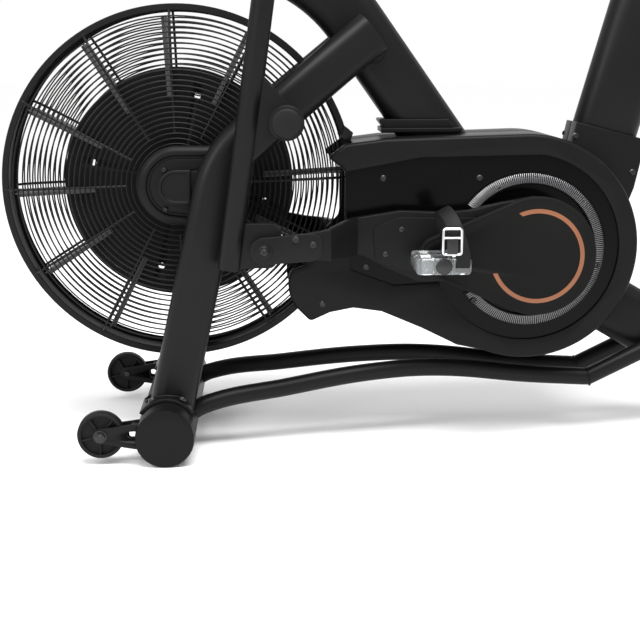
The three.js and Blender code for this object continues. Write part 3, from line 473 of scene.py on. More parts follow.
def rounded(corners, radius, steps=6):
    """A closed outline with its corners rounded."""
    result = []
    for index, corner in enumerate(corners):
        here = Vector(corner[:2])
        back = (Vector(corners[index - 1][:2]) - here).normalized()
        ahead = (Vector(corners[(index + 1) % len(corners)][:2]) - here).normalized()
        size = corner[2] if len(corner) > 2 else radius
        half = back.angle(ahead) / 2
        if size <= 0 or half > math.radians(88):
            result.append(tuple(here))
            continue
        reach = size / math.tan(half)
        middle = here + (back + ahead).normalized() * size / math.sin(half)
        first, last = here + back * reach - middle, here + ahead * reach - middle
        turn = first.angle_signed(last)
        for k in range(steps + 1):
            spoke = first.copy()
            spoke.rotate(Matrix.Rotation(-turn * k / steps, 2))
            result.append(tuple(middle + spoke))
    return result


def bent(corners, radius, steps=14):
    """A path through corners that are bent to a radius."""
    points = [Vector(corner) for corner in corners]
    path = [points[0]]
    for before, here, after in zip(points, points[1:], points[2:]):
        back, ahead = (before - here).normalized(), (after - here).normalized()
        half = back.angle(ahead) / 2
        middle = here + (back + ahead).normalized() * radius / math.sin(half)
        first = here + back * radius / math.tan(half) - middle
        last = here + ahead * radius / math.tan(half) - middle
        axis = first.cross(last).normalized()
        turn = first.angle(last)
        for k in range(steps + 1):
            path.append(middle + Matrix.Rotation(turn * k / steps, 3, axis) @ first)
    path.append(points[-1])
    return path


def screws(places, radius=5, rise=3, socket=0.5):
    """Round-headed socket screws that face the left side; each place is (x, y, z)."""
    heads = []
    for x, y, z in places:
        hex_out = arc((x, z), radius * socket, 0, 300, 5)
        head = lathe(
            [
                (0, y - rise), (radius * 0.7, y - rise), (radius, y - rise * 0.35), (radius, y + 1),
                (0, y + 1)
            ],
            (x, z), 24
        )
        well = plate(hex_out, y - rise - 1, y - rise * 0.25, 0)
        heads.append(carved(head, well))
    obj = joined(heads)
    return painted(softened(obj, 0), black_bolt)


# ---------------------------------------------------------------- floor tubes and wheels


def floor_tube(x, half):
    profile = [
        (0, -half), (STAB_RADIUS - 0.5, -half), (STAB_RADIUS - 0.1, -half + 1),
        (STAB_RADIUS - 0.1, half - 1), (STAB_RADIUS - 0.5, half), (0, half)
    ]
    return painted(lathe(profile, (x, STAB_RADIUS), 96), powder_coat)


def end_cap(x, half):
    """A push-in plastic cap with a fine seam groove and a slightly domed face."""
    seam = half - 9
    profile = [
        (0, -half),
        (30, -half + 0.3),
        (46, -half + 0.8),
        (49, -half + 2.2),
        (50, -half + 4.5),
        (50, -seam - 1.6),
        (48.8, -seam - 0.9),
        (48.8, -seam),
        (0, -seam),
    ]
    return painted(lathe(profile, (x, STAB_RADIUS), 96), case_plastic)


def wheel_cheeks(side):
    cheeks = []
    for y in (WHEEL_Y - 17, WHEEL_Y + 13):
        start, end = sorted((side * y, side * (y + 4)))
        outline = [*arc(WHEEL, 13, 90, 270, 16), (-440, 28), (-408, 24), (-408, 76), (-440, 74)]
        cheek = plate(outline, start, end, 0.8)
        window = rounded([(-462, 43), (-446, 43), (-446, 61), (-462, 60)], 4)
        cheeks.append(carved(cheek, plate(window, start - 2, end + 2, 0)))
    cheeks.append(block(-456, -440, *sorted((side * (WHEEL_Y - 14), side * (WHEEL_Y + 14))), 66, 70, 1))
    return cheeks


front = joined([floor_tube(FRONT_X, 253), *wheel_cheeks(-1), *wheel_cheeks(1)])
place(painted(front, powder_coat), "front_floor_tube", "frame", "frame", "front_stabiliser")
place(floor_tube(REAR_X, 226), "rear_floor_tube", "frame", "frame", "rear_stabiliser")
place_pair(end_cap(FRONT_X, FRONT_HALF), "front_end_cap", "frame", "plastic", "front_cap")
place_pair(end_cap(REAR_X, REAR_HALF), "rear_end_cap", "frame", "plastic", "rear_cap")


def transport_wheel():
    """A solid wheel with a rounded tread, a sunk web and ribs on both faces."""
    y = -WHEEL_Y
    tread = [
        (11, 12), (11, 4), (33, 4), (33, 11), (36.5, 12), (39, 10.5), (40, 8), (40, -8), (39, -10.5),
        (36.5, -12), (33, -11), (33, -4), (11, -4), (11, -12)
    ]
    body = lathe([(r, y + d) for r, d in tread], WHEEL, 64, 0.4)
    hub = lathe(
        [(0, y - 12), (10.5, y - 12), (12, y - 11), (12, y + 11), (10.5, y + 12), (0, y + 12)], WHEEL, 40
    )
    ribs = []
    rib = block(WHEEL[0] + 9, WHEEL[0] + 34, y - 10, y + 10, WHEEL[1] - 1.6, WHEEL[1] + 1.6, 0.7, 2)
    for k in range(5):
        ribs.append(moved_copy(rib, turned_about(WHEEL, math.radians(72 * k + 20))))
    bpy.data.objects.remove(rib)
    wheel = painted(joined([body, hub, *ribs]), trim_plastic)
    bolt = plate(arc(WHEEL, 9, 0, 300, 5), y - 24, y - 17, 1, 2)
    washer = shaft(11, y - 18.5, y - 17.2, WHEEL, 32)
    shank = lathe([(0, y - 24.5), (4, y - 24.5), (5, y - 23.5), (5, y + 21), (0, y + 21)], WHEEL, 24)
    return wheel, painted(joined([bolt, washer, shank]), black_bolt)


wheel, wheel_bolt = transport_wheel()
place_pair(wheel, "rolling_wheel", "wheel", "plastic", "transport_wheel")
place_pair(wheel_bolt, "wheel_bolt", "wheel", "steel")

# ---------------------------------------------------------------- frame tubes


def fork_leg():
    path = bent([(x, -y, z) for x, y, z in LEG], 150)
    tube = oval_bar(path, 78, 46, 2)
    saddle_arc = [
        *arc((FRONT_X, STAB_RADIUS), 56, 34, 146, 36), *arc((FRONT_X, STAB_RADIUS), 50, 146, 34, 36)
    ]
    saddle = plate(saddle_arc, -207, -123, 1)
    bracket = [*arc(FAN, 26, 90, 270, 18), (FAN[0] + 78, FAN[1] - 30), (FAN[0] + 88, FAN[1] + 30)]
    weld_path = [
        (FRONT_X + 1 + 40.5 * math.cos(t), -164 + 24.5 * math.sin(t), 107 - abs(math.cos(t)) ** 2 * 14)
        for t in [math.radians(6 * k) for k in range(60)]
    ]
    weld = bar(weld_path, 2.2, closed=True)
    axle_plate = plate(bracket, -123, -117.5, 1)
    nut = plate(arc(FAN, 13, 30, 330, 5), -131, -123, 1, 2)
    return painted(joined([tube, saddle, weld, axle_plate, nut]), leg_coat)


place_pair(fork_leg(), "front_leg", "frame", "frame", "fork_leg")
saddle_bolts = []
for x, z, lean in ((-424, 105, -27), (-371, 106, 27)):
    bolt = screws([(x, -196, z)], 6.5, 4)
    saddle_bolts.append(bolt)
    bolt.data.transform(Matrix.Translation((-x * MM, 196 * MM, -z * MM)))
    bolt.data.transform(Matrix.Rotation(math.radians(-90), 4, "X"))
    bolt.data.transform(Matrix.Rotation(math.radians(lean), 4, "Y"))
    bolt.data.transform(Matrix.Translation((x * MM, -196 * MM, (z - 3) * MM)))
place_pair(painted(joined(saddle_bolts), black_bolt), "leg_foot_bolts", "frame", "steel")

MAIN_LEAN = math.tan(math.radians(35.5))
MAIN_TOP = FAN[1] + CAGE_RADIUS + 40 + 53.5
MAIN_NOSE = FAN[0] + 22


def main_at(z):
    return 105 - (z - 500) * MAIN_LEAN


main_path = bent([(105, 0, 500), (main_at(MAIN_TOP), 0, MAIN_TOP), (MAIN_NOSE, 0, MAIN_TOP)], 300, 40)
main_tube = oval_bar(main_path, 107, 64)
cross_middle = (main_at(694) - 4, 694)
cross = bar([(cross_middle[0], -84, 694), (cross_middle[0], 84, 694)], 22)
for y in (-33, 33):
    ring = [
        (
            cross_middle[0] + 24 * math.cos(t), y, 694 + 24 * math.sin(t)
        ) for t in [k * math.pi / 24 for k in range(48)]
    ]
    cross = joined([cross, bar(ring, 2.5, closed=True)])
place(painted(joined([main_tube, cross]), powder_coat), "bent_main_tube", "frame", "frame", "main_tube")
nose_cap = oval_bar([(MAIN_NOSE - 4.5, 0, MAIN_TOP), (MAIN_NOSE + 3, 0, MAIN_TOP)], 105, 62, 2)
place(painted(nose_cap, trim_plastic), "main_tube_end_cap", "frame", "plastic")

collar_low = block(-20, 124, -42, 42, 547, 556, 2)
collar_high = plate(rounded([(-14, 555), (112, 555), (100, 571), (-26, 571)], 3), -38.5, 38.5, 2)
place(
    painted(joined([collar_low, collar_high]), case_plastic), "tube_collar", "frame", "plastic",
    "main_tube_collar"
)


def seat_axis(above):
    """A point on the seat tube's axis, a distance above its top."""
    top = SEAT_BASE[0] + (SEAT_TOP - SEAT_BASE[1]) * SEAT_LEAN
    return (top + above * math.sin(SEAT_TILT), 0, SEAT_TOP + above * math.cos(SEAT_TILT))


def post_way():
    """The clear way that the saddle post slides in."""
    return oval_bar([seat_axis(-328), seat_axis(24)], 62, 47, 0)


seat_tube = oval_bar([seat_axis(-332), seat_axis(0)], 119, 66, 2)
lug_root = Vector(seat_axis(-34))
knob_aim = Vector((math.cos(SEAT_TILT), 0, -math.sin(SEAT_TILT)))
lug = bar([lug_root + knob_aim * 48, lug_root + knob_aim * 65.5], 15, 1.2)
carved(seat_tube, post_way())
place(painted(joined([seat_tube, lug]), powder_coat), "slanted_seat_tube", "frame", "frame", "seat_tube")
bush = joined(
    [
        oval_bar([seat_axis(-3), seat_axis(3)], 122, 69, 1.5),
        oval_bar([seat_axis(2), seat_axis(12)], 74, 56, 2)
    ]
)
carved(bush, post_way())
place(painted(bush, case_plastic), "seat_tube_bush", "frame", "plastic")

STAY_ANGLE = math.radians(30)
stay_end = (REAR_X, 0, 256 - (REAR_X - 362) * math.tan(STAY_ANGLE))
stay = oval_bar([(362, 0, 256), (REAR_X - 12, 0, stay_end[2] + 7)], 107, 64)
place(painted(stay, powder_coat), "lower_rear_stay", "frame", "frame", "rear_stay")

RAIL = [
    (-362, 133, 63), (-335, 129, 76), (-193, 105, 100), (-28, 76, 121), (82, 63, 124), (259, 51, 107),
    (365, 50, 101), (507, 50, 171)
]
rail = bar([(x, -y, z) for x, y, z in RAIL], 16, kind="BEZIER", sharp=(6, 7))
mitre = [
    (
        365 + 16.3 * math.cos(t) * -0.22, -50 + 16.3 * math.sin(t), 101 + 16.3 * math.cos(t)
    ) for t in [k * math.pi / 24 for k in range(48)]
]
place_pair(
    painted(joined([rail, bar(mitre, 1.3, closed=True)]), powder_coat), "lower_rail", "frame", "frame",
    "bottom_rail"
)

# ---------------------------------------------------------------- case round the crank

case_outline = [
    *arc((235, 348), 200, -112, 90, 64),
    (-15, 540),
    (-85, 531),
    (-117, 508),
    (-87, 485),
    (-87, 389),
    (-155, 318),
    *arc((-116, 284), 71, 160, 215, 10),
    (-148, 217),
    (-113, 233),
    (-72, 241),
    (-21, 234),
    (50, 204),
    (115, 172),
]


def seat_at(z):
    return SEAT_BASE[0] + (z - SEAT_BASE[1]) * SEAT_LEAN


recess_line = [
    *arc((235, 348), 166, 82, -158, 72),
    (0, 281),
    (-78, 310),
    (-84, 395),
    (-84, 484),
    (43, 508),
]


def chain_case():
    """One half of the case: a shell with a well-rounded edge, sunk inside its rim to a glossy face."""
    shell = plate(case_outline, CASE_FACE, 14, 11, 5)
    carved(shell, block(-400, 600, -0.3, 60, 50, 700, 0))
    carved(shell, plate(recess_line, CASE_FACE - 12, RECESS_FACE, 0))
    inside = plate(link((235, 348), 186, (-40, 380), 100), -86, 2, 0)
    carved(shell, inside)
    carved(shell, shaft(316, -77, 2, FAN, 128))
    softened(facing_out(shell), 0.8, 2, 50)
    gloss_face = plate(recess_line, RECESS_FACE - 0.7, RECESS_FACE + 0.5, 0)
    hood_line = [
        (seat_at(420) - 60, 400),
        (seat_at(420) + 66, 400),
        (seat_at(420) + 84, 447),
        (seat_at(552) + 66, 534),
        (seat_at(552) - 61, 566),
    ]
    hood = plate(hood_line, -42, -0.3, 2.5, 4)
    for piece in (shell, hood):
        carved(piece, oval_bar([seat_axis(-330), seat_axis(30)], 116, 63, 0))
    return joined(
        [painted(shell, case_plastic), painted(hood, case_plastic), painted(gloss_face, gloss_plastic)]
    )


place_pair(chain_case(), "drive_case", "frame", "plastic", "chain_case")
case_screws = screws(
    [
        (-20, -92, 471), (-49, -92, 313), (-127, -97.8, 249), (328, -42, 541), (434, -42, 476),
        (150, -92, 471), (88, -92, 262)
    ],
    5.5,
    2,
)
place_pair(case_screws, "case_screws", "frame", "steel")


def rib_ring():
    """A ring of fine bright ribs that slope down outwards, on a dark base."""
    base = plate([*arc(CRANK, 139, -146, 146, 90), *arc(CRANK, 117, 146, -146, 90)], -94, -90, 0.8, 2)
    lip = plate([*arc(CRANK, 119, -146, 146, 90), *arc(CRANK, 116, 146, -146, 90)], -100, -91, 0.6, 2)
    painted(joined([base, lip]), gloss_plastic)
    ring = bpy.context.object
    wedge = [(118, -99), (137, -93.5), (137, -91), (118, -91)]
    cleared()
    bpy.ops.mesh.primitive_cube_add(size=1)
    rib = bpy.context.object
    for vertex in rib.data.vertices:
        out, up, top = vertex.co.x > 0, vertex.co.y > 0, vertex.co.z > 0
        radius, y = wedge[2 if out and up else 1 if out else 3 if up else 0]
        vertex.co = ((CRANK[0] + radius) * MM, y * MM, (CRANK[1] + (0.85 if top else -0.85)) * MM)
    softened(rib, 0.3, 1)
    rib_angles = [-143 + 286 * k / 189 for k in range(190)]
    copies = [moved_copy(rib, turned_about(CRANK, math.radians(a))) for a in rib_angles]
    bpy.data.objects.remove(rib)
    return ring, painted(joined(copies), rib_metal)


ring_base, ring_ribs = rib_ring()
place_pair(ring_base, "rib_ring_base", "frame", "gloss", "rib_ring")
place_pair(ring_ribs, "rib_ring_ribs", "frame", "gloss")
ring_screws = screws([(185, -94, 451), (362, -94, 316), (143, -94, 253)], 6, 4)
place_pair(ring_screws, "ring_screws", "frame", "steel")

# ---------------------------------------------------------------- cage and fan


def dome(radius):
    share = max(0, (radius - 190) / (CAGE_RADIUS - 12 - 190))
    return HOOP_HALF + (DOME_HALF - 4 - HOOP_HALF) * math.sqrt(max(0, 1 - share * share))


def grille():
    wires = [hoop_wire(FAN, 62 + 9.1 * k, -dome(62 + 9.1 * k) - 1.6, 2.8) for k in range(26)]
    for k in range(12):
        angle = math.radians(30 * k + 2)
        radii = [88, 120, 160, 190, 215, 240, 260, 275, 287, 295, 301, 306]
        path = [(FAN[0] + r * math.cos(angle), -dome(r) + 1.2, FAN[1] + r * math.sin(angle)) for r in radii]
        wires.append(bar(path, 2.4, kind="POLY"))
    lug = plate(rounded([(-94, 540), (-76, 532), (-70, 548), (-86, 560)], 3), -52, -40, 1)
    return painted(joined([*wires, lug]), wire_coat)


place_pair(grille(), "wire_grille", "frame", "wire", "cage_grille")
hoop_profile = [
    (311, -46), (310, -48), (300, -48.5), (299, -47), (300, -45.5), (307.5, -45), (307.8, 45), (300, 45.5),
    (299, 47), (300, 48.5), (310, 48), (311, 46), (311, -46)
]
cage_hoop = lathe(hoop_profile, FAN, 160)
place(painted(cage_hoop, powder_coat), "cage_rim", "frame", "frame", "cage_hoop")


def impeller():
    disc = lathe(
        [(0, -22), (192, -22), (DISC_RADIUS - 3, -23.5), (DISC_RADIUS, -22), (DISC_RADIUS, -19), (0, -19)],
        FAN, 128
    )
    for k in range(4):
        angle = math.radians(77 + 90 * k)
        hole = (FAN[0] + 156 * math.cos(angle), FAN[1] + 156 * math.sin(angle))
        carved(disc, shaft(5.6, -30, -10, hole, 28))
    hub = lathe(
        [
            (0, -38), (30, -38), (34, -34), (34, -24), (48, -22), (48, -19), (34, -17), (34, -8), (30, -6),
            (0, -6)
        ],
        FAN, 64
    )
    core = painted(joined([disc, hub]), fan_metal)
    fin = block(FAN[0] + 150, FAN[0] + 290, -42, 42, FAN[1], FAN[1] + 2.2, 0.6, 2)
    flange = block(FAN[0] + 150, FAN[0] + 290, -23.5, -21, FAN[1], FAN[1] + 9, 0.6, 2)
    blade = joined([fin, flange])
    blades = [moved_copy(blade, turned_about(FAN, -math.radians(30 * k + 3.5))) for k in range(12)]
    bpy.data.objects.remove(blade)
    return core, painted(joined(blades), blade_metal)


fan_core, fan_blades = impeller()
place(fan_core, "fan_disc", "fan", "fan_metal", "impeller")
place(fan_blades, "fan_blades", "fan", "fan_metal")


def hub_cover():
    """The nose over the fan hub: a bevelled band, a groove, a raised inner rim and a sunk panel."""
    outline = [
        *arc(FAN, HUB_RADIUS, 90, 256, 40), (FAN[0] + 60, FAN[1] - 76), (FAN[0] + 96, FAN[1] - 70),
        (FAN[0] + 100, FAN[1] + 54), (FAN[0] + 88, FAN[1] + HUB_RADIUS)
    ]
    cover = plate(outline, -98, -76.3, 0.7, 2, [(5, 5), (6, 2.5), (4, 0), (2, -4), (4, 0), (2, 3)])
    cap_line = [*arc(FAN, 30, 90, 270, 32), (FAN[0] + 26, FAN[1] - 30), (FAN[0] + 26, FAN[1] + 30)]
    cap = plate(cap_line, -133, -98, 0.8, 3, [(2, 1.2), (3, 0.3), (1.5, -2), (2, 0)])
    return joined([painted(cover, case_plastic), painted(cap, case_plastic)])


place_pair(hub_cover(), "fan_hub_cover", "frame", "plastic", "hub_cover")
place_pair(screws([(-401, -107.5, 488), (-400, -107.5, 420)], 4.5, 2.5), "hub_screws", "frame", "steel")

# ---------------------------------------------------------------- crank and pedals


def crank_arm():
    inner = plate(link(CRANK, 26, PIN, 22), -118, -106, 1.5)
    journal = shaft(12, -156, -117, PIN, 40)
    outer = joined(
        [
            plate(link(CRANK, 24, PEDAL, 17), -167, -155, 2.5),
            plate(link(CRANK, 24, PIN, 20), -166.8, -155.2, 1.5)
        ]
    )
    spindle = lathe(
        [(0, -283), (6, -283), (7, -282), (8, -240), (8, -172), (11, -171), (11, -165), (0, -165)], PEDAL,
        32
    )
    return painted(joined([inner, journal, outer, spindle]), steel)


half_turn = turned_about(CRANK, math.pi)
place_pair(crank_arm(), "crank", "crank", "steel", "crank_arm", half_turn)


def crank_cover():
    outline = link(CRANK, 102.5, (70, 344), 36, 56)
    cover = plate(
        outline, -174.5, -167.3, 0.6, 2,
        [(0.8, 1.4), (1.2, 0.9), (1.6, 0.4), (3.2, 0), (0.5, -0.5), (0.8, 0), (0.5, 0.5)]
    )
    hole = shaft(12, -180, -160, PEDAL, 40)
    return painted(carved(cover, hole), cover_plastic)


place_pair(crank_cover(), "crank_cap", "crank", "plastic", "crank_cover", half_turn)
arc_line = [*arc(CRANK, 81.5, 114.5, -159, 96), *arc(CRANK, 74, -157, 111.5, 96)]
copper_arc = painted(plate(arc_line, -177.6, -176.6, 0.2, 2), copper_print)
place_pair(copper_arc, "crank_cap_arc", "crank", "plastic", None, half_turn)
eye = lathe([(0, -180), (8.5, -180), (10.5, -178.5), (10.5, -170), (0, -170)], PEDAL, 40, 0.4)
place_pair(painted(eye, black_bolt), "spindle_collar", "crank", "steel", None, half_turn)


def pedal_pieces():
    """A clear body with windows round its barrel, a dark barrel, a strap and a bright buckle."""
    x, z = PEDAL
    side = rounded([(x - 45, z - 14, 6), (x + 45, z - 14, 6), (x + 45, z + 14, 6), (x - 45, z + 14, 6)], 6)
    body = plate(side, -285, -191, 2.5)
    for x0, x1 in ((x - 37, x - 15), (x + 15, x + 37)):
        for y0, y1 in ((-277, -243), (-233, -199)):
            carved(body, block(x0, x1, y0, y1, z - 20, z + 20, 3, 2))
    bore = shaft(9.5, -284, -180, PEDAL, 40)
    carved(body, bore)
    barrel = lathe([(8.3, -281), (9.3, -281), (9.3, -193), (8.3, -193), (8.3, -281)], PEDAL, 40)
    cap = lathe([(0, -288.5), (11, -288.5), (13.5, -287), (13.5, -284.6), (0, -284.6)], PEDAL, 40, 0.5)
    dark = painted(joined([barrel, cap]), black_bolt)
    points = [
        (x + 30, -281, z - 9), (x + 30, -290, z + 16), (x + 24, -287, z + 42), (x + 12, -268, z + 76),
        (x + 2, -238, z + 88), (x + 4, -208, z + 76), (x + 16, -189, z + 42), (x + 26, -187, z + 14),
        (x + 30, -194, z - 9)
    ]
    ribbon = curve_section([(-12, -1.3), (12, -1.3), (12, 1.3), (-12, 1.3)])
    strap = curve_piece(points, False, section=ribbon, kind="BEZIER")
    bpy.data.objects.remove(ribbon)
    strap = painted(softened(facing_out(strap), 0.5, 2, 60), strap_web)
    bx, by, bz = x + 12, -291, z + 42
    frame_line = [(bx - 15, bz - 21, 4), (bx + 15, bz - 21, 4), (bx + 15, bz + 21, 4), (bx - 15, bz + 21, 4)]
    wire = [(u, by, v) for u, v in rounded(frame_line, 4)]
    bars = [bar(wire, 2.4, closed=True), bar([(bx - 14, by - 1, bz + 6), (bx + 14, by - 1, bz + 6)], 2.0)]
    tongue = plate(
        rounded([(bx - 9, bz - 19), (bx + 9, bz - 19), (bx + 9, bz + 4), (bx - 9, bz + 4)], 2), by - 3.2,
        by - 1.8, 0.4
    )
    return painted(body, clear_pedal), dark, strap, joined(
        [*[painted(piece, chrome) for piece in bars], painted(tongue, black_bolt)]
    )


to_right_pedal = Matrix.Translation((2 * (CRANK[0] - PEDAL[0]) * MM, 0, 0))
pedal_body, pedal_dark, pedal_strap, pedal_buckle = pedal_pieces()
place_pair(pedal_body, "clear_pedal", "pedal", "clear", "pedal", to_right_pedal)
place_pair(pedal_dark, "pedal_barrel", "pedal", "steel", None, to_right_pedal)
place_pair(pedal_strap, "toe_strap", "pedal", "rubber", None, to_right_pedal)
place_pair(pedal_buckle, "strap_buckle", "pedal", "steel", None, to_right_pedal)

# ---------------------------------------------------------------- rods and levers

rod_long = math.dist(PIN, FOOT)
lever_low = math.dist(FOOT, PIVOT)
span = math.dist(PIN_LOW, PIVOT)
base_angle = math.atan2(PIN_LOW[1] - PIVOT[1], PIN_LOW[0] - PIVOT[0])
opening = math.acos((lever_low**2 + span**2 - rod_long**2) / (2 * lever_low * span))
foot_right = (
    PIVOT[0] + lever_low * math.cos(base_angle - opening),
    PIVOT[1] + lever_low * math.sin(base_angle - opening)
)
lever_swing = (base_angle - opening) - math.atan2(FOOT[1] - PIVOT[1], FOOT[0] - PIVOT[0])
rod_turn = math.atan2(
    PIN_LOW[1] - foot_right[1], PIN_LOW[0] - foot_right[0]
) - math.atan2(PIN[1] - FOOT[1], PIN[0] - FOOT[0])
to_right_rod = turned_about(PIN_LOW, -rod_turn) @ Matrix.Translation((0, 0, (PIN_LOW[1] - PIN[1]) * MM))
to_right_lever = turned_about(PIVOT, -lever_swing)


def connecting_rod():
    """A moulded cover that runs from the outer link plate in behind the crank."""
    side = [
        (-188, 383, 6),
        (-186, 348, 6),
        (-150, 347, 30),
        (-59, 343, 30),
        (-20, 322, 20),
        (37, 297, 20),
        (109, 296, 30),
        (209, 349, 20),
        *arc(PIN, 34, -50, 100, 20),
        (179, 433, 20),
        (129, 421, 20),
        (82, 417, 20),
        (4, 420, 40),
        (-96, 404, 40),
        (-121, 398, 30),
        (-166, 390, 20),
    ]
    body = plate(rounded(side, 4), -240, -110, 0)
    plan = [
        (-190, -216), (-130, -216), (-80, -127), (279, -127), (279, -147), (-68, -147), (-118, -226),
        (-190, -226)
    ]
    keep_shape = plate(plan, 250, 480, 0, axis="Z")
    carved(body, keep_shape, "INTERSECT")
    softened(facing_out(body), 3, 3, 40)
    panel = [
        (-42, 392, 14), (-38, 334, 12), (-14, 326, 12), (40, 306, 12), (104, 304, 20), (170, 345, 14),
        (176, 408, 14), (80, 408, 20), (4, 409, 20)
    ]
    emboss = plate(rounded(panel, 12), -149.6, -146, 1, 3)
    return painted(joined([body, emboss]), case_plastic)


place_pair(connecting_rod(), "rod_cover", "rod", "plastic", "connecting_rod", to_right_rod)
link_plate = plate(
    rounded(
        [*arc(FOOT, 23, 100, 262, 20), (-150, 345, 8), (-132, 352, 8), (-132, 386, 8), (-152, 392, 8)], 8
    ),
    -227.5, -216, 1.4
)
foot_nut = lathe(
    [(0, -234), (8, -234), (10, -232.5), (10, -230.5), (14, -230), (14, -227), (0, -227)], FOOT, 40, 0.4
)
place_pair(
    painted(joined([link_plate, foot_nut]), leg_coat), "rod_link_plate", "rod", "frame", None, to_right_rod
)
link_bolts = screws([(-177, -227.5, 382), (-148, -227.5, 373), (-230, -233.5, 362)], 6, 3)
place_pair(link_bolts, "rod_link_bolts", "rod", "steel", None, to_right_rod)
rod_screws = screws([(-20, -149.6, 345), (8, -149.6, 388)], 4.5, 1.5)
place_pair(rod_screws, "rod_cover_screws", "rod", "steel", None, to_right_rod)


def lever_at(z):
    return PIVOT[0] - 64.3 + (z - PIVOT[1]) * 0.1365


LEVER_PATH = [
    (lever_at(327), -196.5, 327), (lever_at(1024), -198, 1024), (lever_at(1024) + 126, -232, 1190),
    (lever_at(1024) + 286, -240, 1230)
]


def hand_lever():
    tube = bar(bent(LEVER_PATH, 90, 18), 19, 1.2)
    boss = lathe([(0, -236), (27, -236), (29, -234), (29, -178), (27, -176), (0, -176)], PIVOT, 64)
    fin_line = [
        (lever_at(650) + 8, 655, 4), (lever_at(500) + 8, 500, 4), (PIVOT[0] - 14, PIVOT[1] - 26, 6),
        (PIVOT[0] + 8, PIVOT[1] + 26, 6)
    ]
    fins = [plate(rounded(fin_line, 4), y - 3, y + 3, 0.8) for y in (-203, -186)]
    foot_line = [
        (lever_at(330) + 6, 330, 3), (FOOT[0] + 16, 330, 14), (FOOT[0] + 30, 352, 14),
        (FOOT[0] + 30, 394, 10), (FOOT[0] + 18, 406, 10), (lever_at(406) + 6, 406, 3)
    ]
    foot = plate(rounded(foot_line, 8), -202, -186, 1.5)
    pin = shaft(9, -215, -200, FOOT, 32)
    return painted(joined([tube, boss, *fins, foot, pin]), powder_coat)


place_pair(hand_lever(), "handle_lever", "lever", "frame", "lever", to_right_lever)


def hand_grip():
    """A rubber sleeve with finger ridges and a flared end."""
    start, end = Vector(LEVER_PATH[2]), Vector(LEVER_PATH[3])
    along = (end - start).normalized()
    profile = [(19.2, 30), (22.6, 30), (23.8, 32), (23.8, 37), (22.4, 39)]
    for k in range(11):
        low = 42 + 9.5 * k
        profile += [(22.4, low), (23.4, low + 2), (23.4, low + 5), (22.4, low + 7)]
    profile += [(23, 153), (25, 157), (25.5, 163), (24, 168.5), (19, 170), (0, 170)]
    sleeve = lathe(profile, (0, 0), 56)
    return painted(aimed(sleeve, start, along), rubber)


place_pair(hand_grip(), "hand_grip", "lever", "rubber", "grip", to_right_lever)
cap_profile = [
    (0, -250), (20, -250), (23.5, -248), (24.5, -245), (24.5, -240), (23, -239), (23, -238), (26, -237.8),
    (26, -237.2), (12, -237), (12, -175), (26, -175), (26, -128), (0, -128)
]
pivot_cap = painted(lathe(cap_profile, PIVOT, 64, 0.4), trim_plastic)
place_pair(pivot_cap, "lever_pivot_cap", "frame", "frame", "pivot_shaft")

# ---------------------------------------------------------------- seat

rail_x, rail_z = seat_axis(170)[0], seat_axis(180)[2]
post = oval_bar([seat_axis(-184), seat_axis(172)], 60, 44)
marks = []
for k in range(9):
    low = Vector(seat_axis(20 + 15 * k))
    marks.append(block(low.x - 7, low.x + 7, -22.5, -21.6, low.z - 0.6, low.z + 0.6, 0.2, 1))
post_marks = painted(joined(marks), button_rubber)
head_plate = block(rail_x - 50, rail_x + 50, -19, 19, rail_z - 12, rail_z - 5, 2)
slide_rail = block(rail_x - 115, rail_x + 115, -20, 20, rail_z - 6, rail_z + 18, 3, 4)
place(
    painted(joined([post, head_plate, slide_rail]), powder_coat), "saddle_post", "seat_post", "frame",
    "seat_post"
)
place(post_marks, "saddle_post_marks", "seat_post", "rubber")
rail_caps = [
    block(
        rail_x + side * 114 - 3, rail_x + side * 114 + 4, -21, 21, rail_z - 7, rail_z + 19, 3, 4
    ) for side in (-1, 1)
]
place(painted(joined(rail_caps), trim_plastic), "slide_rail_caps", "seat_post", "plastic")

CARRIAGE_TOP = rail_z + 28
carriage = joined(
    [
        block(rail_x - 55, rail_x + 55, -26, -20.4, rail_z + 4, CARRIAGE_TOP, 1.5),
        block(rail_x - 55, rail_x + 55, 20.4, 26, rail_z + 4, CARRIAGE_TOP, 1.5),
        block(rail_x - 55, rail_x + 55, -26, 26, rail_z + 18.4, CARRIAGE_TOP, 1.5),
        block(rail_x - 14, rail_x + 14, 25, 32, rail_z - 2, rail_z + 20, 2),
    ]
)
place(painted(carriage, powder_coat), "saddle_slide_carriage", "carriage", "frame", "saddle_carriage")


def lobed_knob(centre, y0, y1, radius):
    """A five-lobed hand knob, turned on a line across the bike."""
    line = []
    for k in range(100):
        angle = 2 * math.pi * k / 100
        size = radius - 2.2 + 2.2 * math.cos(5 * angle)
        line.append((centre[0] + size * math.cos(angle), centre[1] + size * math.sin(angle)))
    return plate(line, y1, y0, 2.5, 4, [(3, -0.4), (4, -1.2)])


knob_middle = (rail_x, rail_z + 8)
knob_head = lobed_knob(knob_middle, 33, 60, 18)
knob_stem = shaft(6, 21.5, 38, knob_middle, 32)
place(
    painted(joined([knob_head, knob_stem]), trim_plastic), "slide_knob", "carriage_knob", "plastic",
    "carriage_knob"
)


def pull_knob():
    """A mushroom pull knob on a pin, standing out of the seat tube."""
    profile = [
        (0, 32), (6, 32), (6, 66), (11, 67), (12, 72), (19, 76), (20, 80), (20, 90), (18, 95), (12, 98.5),
        (0, 99.5)
    ]
    knob = lathe(profile, (0, 0), 60)
    return painted(aimed(knob, lug_root, knob_aim), trim_plastic)


place(pull_knob(), "post_pull_knob", "post_knob", "plastic", "post_knob")

SADDLE = [
    (-0.5, 0.1), (-0.46, 0.17), (-0.3, 0.2), (-0.12, 0.26), (0.06, 0.4), (0.22, 0.5), (0.38, 0.47),
    (0.48, 0.3), (0.5, 0.12)
]


